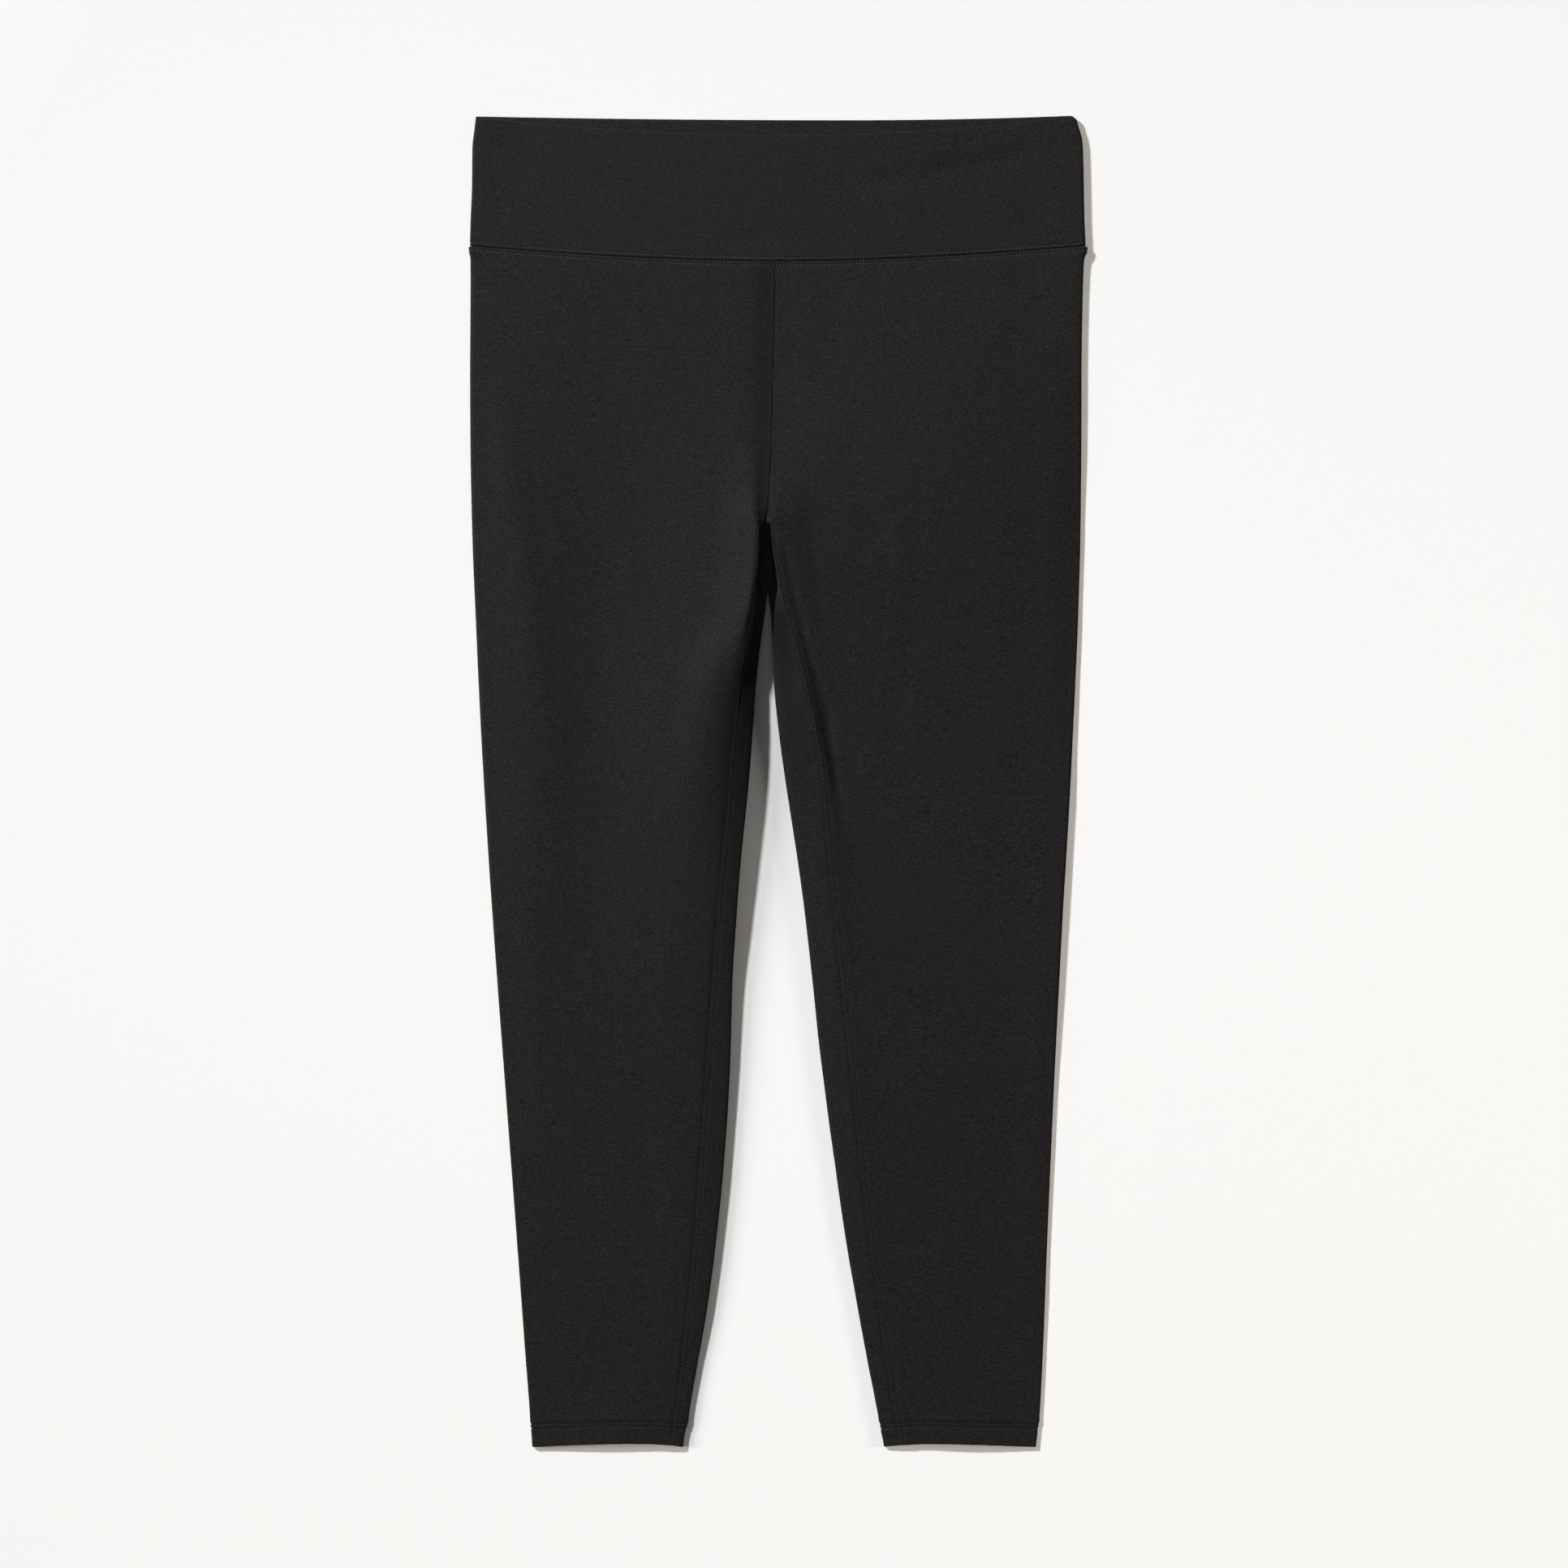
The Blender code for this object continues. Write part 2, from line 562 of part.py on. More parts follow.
def add_sheet(name, grid, thickness, closed_from, flip, collection):
    """A sheet of cloth through a grid of points, outer face out, with its thickness inwards. From the row closed_from
    on, the two ends of each row are one point, so the sheet is a tube there."""
    mesh = bpy.data.meshes.new(name)
    build = bmesh.new()
    last = len(grid[0]) - 1
    points = []
    for index, row in enumerate(grid):
        made = [build.verts.new(place) for place in row[:last]]
        made.append(made[0] if index >= closed_from else build.verts.new(row[last]))
        points.append(made)
    for upper, lower in zip(points, points[1:]):
        for k in range(last):
            corners = [upper[k], lower[k], lower[k + 1], upper[k + 1]]
            corners = [v for i, v in enumerate(corners) if v is not corners[i - 1]]
            build.faces.new(corners[::-1] if flip else corners)
    build.to_mesh(mesh)
    build.free()
    mesh.shade_smooth()
    mesh.materials.append(knit_material(name + "_knit"))
    sheet = bpy.data.objects.new(name, mesh)
    solidify = sheet.modifiers.new("cloth", "SOLIDIFY")
    solidify.thickness = thickness * MM
    solidify.offset = -1.0
    solidify.use_even_offset = True
    solidify.use_quality_normals = True
    collection.objects.link(sheet)
    return sheet


def main():
    for obj in list(bpy.data.objects):
        bpy.data.objects.remove(obj, do_unlink=True)
    collection = bpy.data.collections.new("leggings")
    bpy.context.scene.collection.children.link(collection)
    for leg in LEGS:
        closed_from = stations(leg).index(FORK_DROP)
        add_sheet(leg.name, leg_grid(leg), CLOTH, closed_from, leg.sign < 0, collection)
    never = len(BAND_STATIONS)
    add_sheet("waistband_front", band_grid(True), BAND_CLOTH, never, False, collection)
    add_sheet("waistband_back", band_grid(False), BAND_CLOTH, never, True, collection)


main()
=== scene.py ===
"""High-rise 7/8 leggings in charcoal brushed knit, laid flat with the front up.

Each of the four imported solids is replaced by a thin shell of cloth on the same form: the two legs, and the
front and back half of the waistband. The shells carry what the solids leave out, which is the soft creases,
the sunk seams, the turned hems and the folded top edges. The rows of stitches are meshes of their own, laid
on the shells.

Frame: +X is the wearer's left, +Y points to the waistband, +Z is up, and the garment rests on z = 0. Sizes
are in millimetres until a mesh is made. "drop" is the distance down from the top of the waistband, and
"width" is measured from the middle plane, outwards on a leg's own side.
"""

import logging
import math
from collections.abc import Sequence
from dataclasses import dataclass, field
from enum import Enum
from typing import NamedTuple, TypeVar

import bmesh
import bpy
import numpy as np
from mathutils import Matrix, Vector, noise


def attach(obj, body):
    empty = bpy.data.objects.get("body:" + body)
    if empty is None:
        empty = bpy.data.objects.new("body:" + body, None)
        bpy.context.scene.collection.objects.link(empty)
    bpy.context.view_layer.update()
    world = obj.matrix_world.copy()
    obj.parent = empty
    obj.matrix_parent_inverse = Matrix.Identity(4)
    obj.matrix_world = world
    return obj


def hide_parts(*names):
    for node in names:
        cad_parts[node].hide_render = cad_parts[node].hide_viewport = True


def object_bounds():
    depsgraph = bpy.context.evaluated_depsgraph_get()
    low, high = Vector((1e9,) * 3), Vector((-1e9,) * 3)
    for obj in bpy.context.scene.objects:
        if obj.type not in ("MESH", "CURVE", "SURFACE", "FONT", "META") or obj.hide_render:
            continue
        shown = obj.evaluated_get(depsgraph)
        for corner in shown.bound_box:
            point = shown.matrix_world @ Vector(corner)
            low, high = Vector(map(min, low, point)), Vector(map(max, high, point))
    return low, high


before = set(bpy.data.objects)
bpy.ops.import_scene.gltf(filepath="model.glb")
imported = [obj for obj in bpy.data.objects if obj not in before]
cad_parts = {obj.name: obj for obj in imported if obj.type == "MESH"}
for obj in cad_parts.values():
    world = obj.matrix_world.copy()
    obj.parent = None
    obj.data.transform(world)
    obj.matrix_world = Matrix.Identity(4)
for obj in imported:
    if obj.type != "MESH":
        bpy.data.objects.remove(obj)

LOG = logging.getLogger("leggings")
Array = np.ndarray
Colour = tuple[float, float, float]
Line = tuple[Array, Array]  # points and unit normals
Socket = bpy.types.NodeSocket
Row = TypeVar("Row")
MM = 0.001
CAD_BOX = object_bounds()
LENGTH = (CAD_BOX[1].y - CAD_BOX[0].y) / MM  # top of the waistband to the lowest corner of the hems
BODY = "root"
# Name of the point attribute that carries the painted shade and painted light on the legs' cloth.
PAINTED_SHADING_NAME = "painted_shading_factor"
SHARP_ANGLE = math.radians(62)

# Cloth and seams.
CLOTH = 1.1
BAND_CLOTH = 1.8
SEAM_GAP = 0.3
SEAM_DROP_MIDDLE = 101.0
SEAM_DROP_SIDE = 90.6
SEAM_CURVE_POWER = 1.75
HALF_WAIST = 212.0
CROTCH_DROP = 281.4
FORK_DROP = 326.8
SEAT_FADE_DROP = 240.0
TOUCHING = 0.4  # cloth below this height lies on the surface

# The waistband.
BAND_FLAT = 4.4
BAND_EDGE_HEIGHT = 5.4
BAND_UPRIGHT = 0.35
EDGE_FADE = 34.0
HALF_TOP = 203.0
TOP_CURVE_POWER = 2.1
BAND_SWELLS = ((0.25, 38.0), (0.06, 10.0))
BAND_SEED = 2.5
BAND_ROWS = ((0.0, 0.012), (0.06, 0.03), (0.9, 0.0085), (1.0, 0.0085))

# The inner wall of a leg, its hem, and the painted shade by its inner edge and painted light by its side
# fold.
WALL_SAMPLES = 80
WALL_CROWDING = 0.6
WALL_SHORT = 9.0
WALL_GROWTH = 10.0
LIP_FULLNESS = 0.86
STRIP_SLOPE = 0.3
BULGE_AT = 0.2
BULGE_FULLNESS = 0.9
HEM_LIFT = 1.9
HEM_LIFT_REACH = 46.0
HEM_ARCH_POWER = 0.68
TUCK_FROM = 60.0
TUCK_REACH = 66.0
BACK_SINK = 0.15
BACK_EDGE = 20.0
SWELLS = ((0.22, 42.0), (0.05, 9.0))
WAIST_REACH = 14.0
CENTRE_SEED = 7.5
BACK_SEED = 9.5
FACE_TURN = 0.55
FACE_TURN_SPAN = 0.3
PAINTED_SHADE_HOLD = 0.4
PAINTED_LIGHT_REACH = 46.0

# The brushed nap: shares of fibres and streaks, the size and the heights of its pale specks, its darkest.
FIBRES = 0.65
STREAKS = 0.35
STREAK_SCALE = (0.3, 1.15, 1.15)
SPECK_SCALE = 0.45
SPECK_FROM = 0.62
SPECK_TO = 0.78
DARKEST = 0.12

# Where the thread shows.
SLANT = 32.0
INSEAM_FROM = CROTCH_DROP + 2.5
INSEAM_TO = LENGTH - 2.0
TACK_ROWS = (1.1, 2.6, 4.1)
TACK_TOP = CROTCH_DROP - 24.0


class Centre(NamedTuple):
    """A place on the centre seam."""

    drop: float
    x: float


class Side(NamedTuple):
    """The side fold of a leg: how far out it lies, and how high it puffs."""

    drop: float
    out: float
    height: float


class Thigh(NamedTuple):
    """The inner side of a leg: inseam, inner outline, their heights, and how much the wall between bulges."""

    drop: float
    seam: float
    edge: float
    seam_h: float
    edge_h: float
    roll: float


class Fold(NamedTuple):
    """A place on a fold line: its share of the way across the front, and its height."""

    drop: float
    at: float
    height: float


class BandSide(NamedTuple):
    """How far out the waistband's two side folds lie."""

    drop: float
    right: float
    left: float


class TopEdge(NamedTuple):
    """Drops of a top edge of the waistband: where it dips lowest, which lies at x, and at its ends."""

    lowest: float
    x: float
    right: float
    left: float


class Crease(NamedTuple):
    """A soft ridge, or a trough where its height is under 0, along a path of (x, drop) places."""

    path: tuple[tuple[float, float], ...]
    half_width: float
    height: float


class PaintedShade(NamedTuple):
    """Painted shade beside a leg's inner edge, where its wall falls into shade: how much darker, and how far
    across.
    """

    drop: float
    depth: float
    span: float


def table(kind: type[Row], *rows: tuple) -> tuple[Row, ...]:
    """The rows of a table, each as a row of the given kind."""
    return tuple(kind(*row) for row in rows)


CENTRE_FRONT = table(
    Centre,
    (88, -2.2), (132, -2.7), (177, -3.8), (222, -4.6), (256, -6), (276, -7.7), (281.4, -9), (296, -8.8),
    (326.8, -7.1),
)
CENTRE_BACK = table(Centre, (88, 0), (200, -2), (326.8, -7.1))

RIGHT_SIDE = table(
    Side,
    (88, 212.7, 5.6), (93.4, 213.3, 6), (99.5, 212.2, 5.6), (120, 212.1, 5.8), (177, 212.4, 6.4),
    (222, 212.2, 6.8), (281.4, 211.1, 7), (345, 208.6, 7.2), (424, 204.9, 7.2), (513, 199.6, 6.6),
    (592, 194.1, 5.4), (681, 187.4, 4.2), (771, 180.6, 3.4), (860, 174, 3.1), (897, 171.2, 3.2),
    (903.4, 170.9, 3.4), (909, 170.2, 3.2), (918.4, 169.4, 3.2),
)
LEFT_SIDE = table(
    Side,
    (88, 212.2, 5.6), (93.4, 213.3, 6), (99.5, 211, 5.2), (120, 210.1, 4.9), (177, 209.2, 4.8),
    (222, 209.1, 4.6), (281.4, 208.6, 3.3), (345, 206.9, 3.1), (424, 203.4, 3.8), (480, 200.6, 5),
    (547, 196.5, 5.1), (592, 194.1, 4.8), (681, 189.7, 3.1), (771, 185.8, 2.8), (860, 182.3, 2.8),
    (897, 180.3, 3), (903.4, 179.8, 3.3), (909, 178.9, 3.1), (918.4, 177.6, 3),
)

RIGHT_THIGH = table(
    Thigh,
    (88, 10.2, 2.2, 4.6, 4.5, 0.5), (120, 10.6, 2.6, 4.3, 3.9, 0.5), (177, 11.8, 3.8, 4.4, 4, 0.5),
    (222, 12.6, 4.6, 7, 6.4, 0.5), (256, 13.8, 6, 12.4, 10.4, 0.5), (276, 14.2, 7.7, 18.2, 14.2, 0.6),
    (281.4, 13.5, 9, 19.4, 14.2, 0.7), (283, 13.3, 9, 19.2, 8, 0.3), (288, 13.3, 9, 19.2, 4.6, 0),
    (297, 13.5, 8.7, 19.2, 3.4, 0), (310, 14, 8, 19.1, 2.8, 0), (325.3, 15.6, 7.2, 18.8, 2.5, 0.05),
    (326.8, 15.7, 7.1, 18.7, 1.2, 0.05), (334, 16.4, 7.9, 18.5, 2, 0.09),
    (345, 17.8, 9.4, 18.2, 3.2, 0.18), (368, 21.7, 12.7, 17.4, 5.8, 0.4),
    (396, 26.4, 15.5, 16.2, 8.2, 0.64), (424, 29.5, 17.4, 15.2, 9.8, 0.85),
    (452, 32.2, 19.5, 14.3, 10.4, 0.96), (480, 34.3, 22.1, 13.4, 10.4, 1),
    (513, 37.4, 25.5, 12.8, 10, 1), (547, 40.5, 28.3, 11.8, 8.8, 1), (592, 43.9, 31.2, 10.2, 6.8, 1),
    (636, 47, 32.5, 9, 5.4, 1), (681, 50, 34.3, 8.2, 4.7, 1), (726, 53.2, 37.7, 7.7, 4.4, 1),
    (771, 56.6, 42.1, 7.2, 4.2, 1), (816, 60.9, 47.9, 6.4, 3.9, 1), (860, 65.7, 55.3, 5.4, 2.9, 1),
    (897, 69.9, 61.7, 5, 2.5, 1), (903.4, 70.8, 62.4, 5, 2.5, 1), (909, 71.6, 64.5, 4.8, 2.4, 1),
    (918.4, 72.8, 65.7, 4.6, 2.3, 1),
)
LEFT_THIGH = table(
    Thigh,
    (88, 5.8, -2.2, 4.6, 4.5, 0.5), (120, 5.4, -2.6, 4.3, 3.9, 0.5), (177, 4.2, -3.8, 4.6, 4, 0.5),
    (222, 3, -4.6, 6.8, 6.4, 0.5), (256, 1, -6, 11.2, 10.4, 0.5), (276, -2.4, -7.7, 15.4, 14.2, 0.6),
    (281.4, -4.6, -9, 15.8, 14.2, 0.7), (283, -4.8, -9, 15.8, 8, 0.3), (288, -4.6, -9, 15.8, 4.6, 0),
    (297, -3.8, -8.7, 15.6, 3.4, 0), (310, -1.8, -8, 15, 2.8, 0), (325.3, 0.8, -7.2, 14, 2.5, 0.1),
    (326.8, 1.1, -7.1, 13.8, 1.2, 0.2), (334, 2.7, -6.4, 13.4, 2.4, 0.5), (345, 5.8, -4.9, 12.8, 4, 0.8),
    (368, 12.8, -4, 11.8, 4.8, 1), (396, 20.3, -2.7, 11, 4.6, 1), (424, 26.2, 0.2, 10.2, 4, 1),
    (452, 30.4, 3.9, 9.2, 3.3, 1), (480, 32.8, 8.1, 8.4, 3.3, 1), (513, 35.9, 13.2, 7.6, 3.2, 1),
    (547, 39.2, 17.9, 7, 3.1, 1), (592, 43.8, 23.1, 6.4, 2.9, 1), (636, 48.6, 27.6, 6, 2.8, 1),
    (681, 53.2, 33.3, 5.7, 2.7, 1), (726, 58, 39.4, 5.4, 2.6, 1), (771, 63.4, 45.9, 5, 2.4, 1),
    (816, 69.6, 53.5, 4.6, 2.2, 1), (860, 75.7, 61.7, 4.2, 2, 1), (897, 81.5, 69, 4.2, 2, 1),
    (903.4, 82.6, 70, 4.2, 2, 1), (909, 83.6, 71.2, 4.2, 2, 1), (918.4, 85, 73.2, 4.2, 2, 1),
)

# The fold lines of each leg, from the inseam outwards.
RIGHT_FOLDS = (
    table(  # the brink beside the inseam
        Fold,
        (88, 0.02, 4.6), (177, 0.02, 4.7), (222, 0.015, 7.2), (256, 0.012, 12.8), (283, 0.012, 19.8),
        (326, 0.014, 20.2), (345, 0.022, 20.6), (368, 0.035, 19.4), (396, 0.045, 17.4),
        (435, 0.045, 15.2), (480, 0.045, 13.8), (547, 0.045, 12.2), (592, 0.045, 10.7), (648, 0.05, 9),
        (760, 0.05, 7.4), (860, 0.05, 5.6), (918.4, 0.05, 4.7),
    ),
    table(  # the ridge along the inner thigh
        Fold,
        (88, 0.07, 4.6), (177, 0.07, 5), (222, 0.06, 7.1), (256, 0.05, 11.2), (283, 0.045, 16.4),
        (326, 0.05, 17), (345, 0.06, 18.2), (368, 0.08, 19), (396, 0.1, 17.8), (435, 0.12, 15.5),
        (480, 0.14, 13.7), (547, 0.15, 12), (592, 0.14, 10.7), (648, 0.13, 9.1), (760, 0.12, 7.4),
        (860, 0.12, 5.6), (918.4, 0.12, 4.7),
    ),
    table(  # the ridge's outer flank
        Fold,
        (88, 0.22, 4.5), (177, 0.2, 4.7), (256, 0.16, 7.4), (300, 0.15, 9.6), (345, 0.19, 11),
        (396, 0.25, 11.6), (435, 0.3, 11), (513, 0.34, 10.4), (592, 0.34, 9.2), (648, 0.34, 8.1),
        (760, 0.34, 6.5), (860, 0.32, 5), (918.4, 0.32, 4.2),
    ),
    table(  # the shallow valley down the middle of the leg
        Fold,
        (88, 0.45, 4.4), (256, 0.48, 4.2), (345, 0.54, 5), (400, 0.55, 6.2), (460, 0.54, 7.4),
        (513, 0.56, 8), (592, 0.58, 7.6), (704, 0.58, 6.2), (816, 0.55, 4.7), (918.4, 0.55, 3.6),
    ),
    table(  # the brow beside the side fold
        Fold,
        (88, 0.88, 5.8), (188, 0.87, 7.2), (256, 0.87, 8.4), (345, 0.84, 9.6), (424, 0.82, 10),
        (513, 0.82, 9.6), (592, 0.82, 7.8), (704, 0.83, 5.5), (816, 0.84, 4.2), (918.4, 0.86, 3.4),
    ),
)
LEFT_FOLDS = (
    table(  # the foot of the crease beside the inseam
        Fold,
        (88, 0.04, 4.6), (177, 0.04, 5.2), (222, 0.04, 7.4), (256, 0.04, 11.2), (283, 0.04, 14.8),
        (326, 0.04, 12.6), (368, 0.04, 9.6), (424, 0.04, 6.8), (452, 0.06, 6.6), (513, 0.08, 6),
        (592, 0.09, 5.6), (816, 0.1, 4.2), (918.4, 0.1, 4),
    ),
    table(  # the trough between that crease and the thigh
        Fold,
        (88, 0.16, 4.5), (177, 0.16, 6.6), (222, 0.16, 8.8), (256, 0.16, 10.2), (300, 0.17, 11),
        (345, 0.18, 8.6), (400, 0.18, 6.6), (480, 0.18, 5.6), (592, 0.2, 5.2), (816, 0.22, 4.1),
        (918.4, 0.22, 3.8),
    ),
    table(  # the broad swell over the thigh
        Fold,
        (88, 0.36, 4.6), (177, 0.36, 8), (222, 0.38, 9.8), (256, 0.41, 10.6), (300, 0.43, 10.4),
        (345, 0.42, 8.8), (400, 0.44, 6.8), (480, 0.44, 5.9), (592, 0.44, 5.2), (760, 0.44, 4.2),
        (918.4, 0.44, 3.6),
    ),
    table(  # the brow beside the side fold
        Fold,
        (88, 0.88, 5.4), (188, 0.9, 6.9), (256, 0.9, 7.4), (300, 0.9, 6.7), (368, 0.9, 5.5),
        (480, 0.9, 5.8), (592, 0.9, 5.4), (704, 0.9, 3.8), (918.4, 0.88, 3.3),
    ),
)

# Painted shade along each leg's inner edge, darkest on the wall beside the channel between the legs.
RIGHT_PAINTED_SHADE = table(
    PaintedShade,
    (326, 0.2, 20), (356, 0.5, 22), (368, 0.62, 26), (396, 0.68, 32), (435, 0.68, 37), (480, 0.54, 39),
    (535, 0.26, 35), (600, 0.1, 30), (918.4, 0, 26),
)
LEFT_PAINTED_SHADE = table(
    PaintedShade,
    (326, 0.1, 14), (345, 0.66, 20), (356, 0.72, 19), (372, 0.5, 21), (396, 0.26, 24), (435, 0.22, 32),
    (480, 0.12, 30), (560, 0, 26), (918.4, 0, 26),
)

# Creases of the cloth, a list for each piece's upper face and one for its face on the surface.
RIGHT_CREASES = table(
    Crease,
    (((-200, 150), (-186, 235), (-176, 302), (-168, 372), (-158, 450)), 11, 0.9),
    (((-122, 205), (-108, 290), (-98, 370)), 10, 0.4),
    (((-86, 300), (-78, 350), (-72, 400)), 9, -0.4),
    (((-100, 620), (-88, 740), (-82, 830)), 10, -0.5),
    (((-154, 750), (-160, 820)), 8, -0.3),
    (((-190, 545), (-150, 560), (-120, 552)), 8, -0.2),
)
RIGHT_BACK_CREASES = table(
    Crease,
    (((-60, 330), (-110, 300), (-160, 285)), 9, -0.6),
    (((-50, 380), (-100, 372)), 7, -0.5),
    (((-90, 640), (-96, 760)), 9, -0.4),
)
LEFT_CREASES = table(
    Crease,
    (((38, 246), (52, 232), (66, 200)), 7.5, -0.5),
    (((104, 250), (95, 330), (84, 403), (76, 470)), 9, -0.45),
    (((20, 276), (24, 300), (27.5, 330), (32, 380)), 3.8, -0.5),
    (((2.6, 284), (6.2, 306), (12, 334), (20.6, 368), (28.2, 396), (34, 424)), 2.9, -1.1),
    (((27, 380), (33.6, 410), (37.4, 440), (42, 468), (46.4, 490)), 3.4, -1.35),
    (((32, 376), (40, 420), (47, 460), (58, 520)), 8.5, -0.6),
    (((160, 112), (172, 116)), 9, -0.35),
    (((150, 560), (120, 575)), 9, -0.2),
)
LEFT_BACK_CREASES = table(
    Crease,
    (((60, 335), (112, 306), (158, 296)), 9, -0.6),
    (((54, 392), (98, 380)), 7, -0.4),
    (((108, 610), (116, 730)), 9, -0.4),
)
BAND_CREASES = table(
    Crease,
    (((202, 20), (146, 33), (84, 44), (30, 51)), 7.5, -0.75),
    (((200, 8), (140, 18), (90, 28)), 9, 0.4),
    (((-192, 66), (-174, 77), (-156, 90)), 6, 0.4),
    (((-172, 42), (-160, 47)), 12, 0.35),
    (((-198, 14), (-186, 34)), 9, -0.45),
)

BAND_SIDES = table(
    BandSide,
    (0, 208.5, 203), (2.5, 208.8, 205.6), (6.4, 209.2, 206.8), (14.8, 210.3, 209.3), (20.4, 210.8, 210),
    (48.4, 211.1, 210.7), (70.8, 212, 211.1), (90, 212.6, 212),
)


def curve(x: Sequence[float], y: Sequence[float], at: Array | float) -> Array:
    """Heights on a smooth curve through points that never overshoots them (monotone cubic).

    Args:
        x: Places of the points, rising.
        y: Heights of the points.
        at: Places to read.

    Returns:
        The height at each place, held at the curve's ends beyond them.
    """
    x, y = np.asarray(x, float), np.asarray(y, float)
    step = np.diff(x)
    slope = np.diff(y) / step
    tangent = np.zeros(len(x))
    tangent[0], tangent[-1] = slope[0], slope[-1]
    same_way = slope[:-1] * slope[1:] > 0
    total = np.where(same_way, slope[:-1] + slope[1:], 1.0)
    tangent[1:-1] = np.where(same_way, 2 * slope[:-1] * slope[1:] / total, 0.0)
    k = np.clip(np.searchsorted(x, at) - 1, 0, len(step) - 1)
    t = np.clip((at - x[k]) / step[k], 0.0, 1.0)
    return (
        (2 * t**3 - 3 * t**2 + 1) * y[k]
        + (t**3 - 2 * t**2 + t) * step[k] * tangent[k]
        + (3 * t**2 - 2 * t**3) * y[k + 1]
        + (t**3 - t**2) * step[k] * tangent[k + 1]
    )


def column(rows: Sequence[NamedTuple], name: str, at: Array | float) -> Array:
    """The named column of a table by rising drop, read at any drops."""
    return curve([row.drop for row in rows], [getattr(row, name) for row in rows], at)


def cell(rows: Sequence[NamedTuple], name: str, drop: float) -> float:
    """The named column of a table, read at one drop."""
    return float(column(rows, name, drop))


def settle(distance: Array | float, reach: float) -> Array:
    """1 at no distance, falling softly to 0 at reach and beyond."""
    return np.cos(math.pi / 2 * np.clip(np.asarray(distance) / reach, 0.0, 1.0)) ** 2


def dip(distance: Array, width: float) -> Array:
    """A soft bell, 1 at no distance and about a third at width."""
    return np.exp(-((distance / width) ** 2))


def unit(vectors: Array) -> Array:
    """The vectors, each scaled to length 1."""
    return vectors / np.maximum(np.linalg.norm(vectors, axis=-1, keepdims=True), 1e-9)


def reach_along(points: Array) -> Array:
    """Distance of each point from the first one of its line, where each row of points is a line."""
    steps = np.linalg.norm(np.diff(points, axis=-2), axis=-1)
    return np.concatenate([np.zeros((*steps.shape[:-1], 1)), np.cumsum(steps, axis=-1)], axis=-1)


def read_along(at: Array, reach: Array, values: Array) -> Array:
    """Vectors given along a line, read at any distances from its start.

    Args:
        at: Distances to read.
        reach: Distance of each given vector.
        values: The vectors.

    Returns:
        A vector for each distance.
    """
    return np.stack([np.interp(at, reach, part) for part in values.T], axis=1)


def seam_drop(x: Array) -> Array:
    """Drop of the waist seam, which sags towards the middle."""
    share = np.minimum(np.abs(x) / HALF_WAIST, 1.0) ** SEAM_CURVE_POWER
    return SEAM_DROP_MIDDLE + (SEAM_DROP_SIDE - SEAM_DROP_MIDDLE) * share


def spans(stops: Sequence[tuple[float, float]]) -> Array:
    """Places from one stop to the next, an even number of steps apart in each span.

    Args:
        stops: Pairs of a place and the longest step up to the next place.

    Returns:
        The places, rising.
    """
    places: list[float] = []
    for (low, step), (high, _) in zip(stops, stops[1:]):
        steps = 2 * math.ceil((high - low) / step / 2)
        places += [low + (high - low) * k / steps for k in range(steps)]
    return np.array([*places, stops[-1][0]])


def unevenness(x: Array, y: Array, size: float, seed: float) -> Array:
    """Smooth irregular heights from about -1 to 1.

    Args:
        x: First coordinate of each place.
        y: Second coordinate of each place.
        size: The distance between neighbouring rises.
        seed: Picks one pattern.

    Returns:
        The height at each place.
    """
    flat = [noise.noise(Vector((a / size, b / size, seed))) for a, b in zip(x.ravel(), y.ravel())]
    return np.array(flat).reshape(x.shape)


def swell(x: Array, y: Array, waves: Sequence[tuple[float, float]], seed: float) -> Array:
    """Soft waves in cloth that nothing pulls flat, each given as its height and size."""
    return sum(height * unevenness(x, y, size, seed + k) for k, (height, size) in enumerate(waves))


def crease_heights(creases: Sequence[Crease], x: Array, drop: Array) -> Array:
    """Height that the creases add to the cloth.

    Args:
        creases: The creases.
        x: Where each point lies across the garment.
        drop: Where each point lies down the garment.

    Returns:
        The added height at each point.
    """
    samples, fade, faint = 160, 0.35, 0.15
    total = np.zeros_like(x)
    t = np.linspace(0.0, 1.0, samples)
    for crease in creases:
        knots = np.linspace(0.0, 1.0, len(crease.path))
        line_x, line_drop = (curve(knots, values, t) for values in zip(*crease.path))
        reach = 3 * crease.half_width
        near = (x > line_x.min() - reach) & (x < line_x.max() + reach)
        near &= (drop > line_drop.min() - reach) & (drop < line_drop.max() + reach)
        away = np.hypot(x[near][:, None] - line_x, drop[near][:, None] - line_drop)
        place = t[away.argmin(1)]
        ends = np.minimum(np.minimum(place, 1.0 - place) / fade, 1.0)
        ends = ends * ends * (3 - 2 * ends)
        total[near] += crease.height * (faint + (1 - faint) * ends) * dip(away.min(1), crease.half_width)
    return total


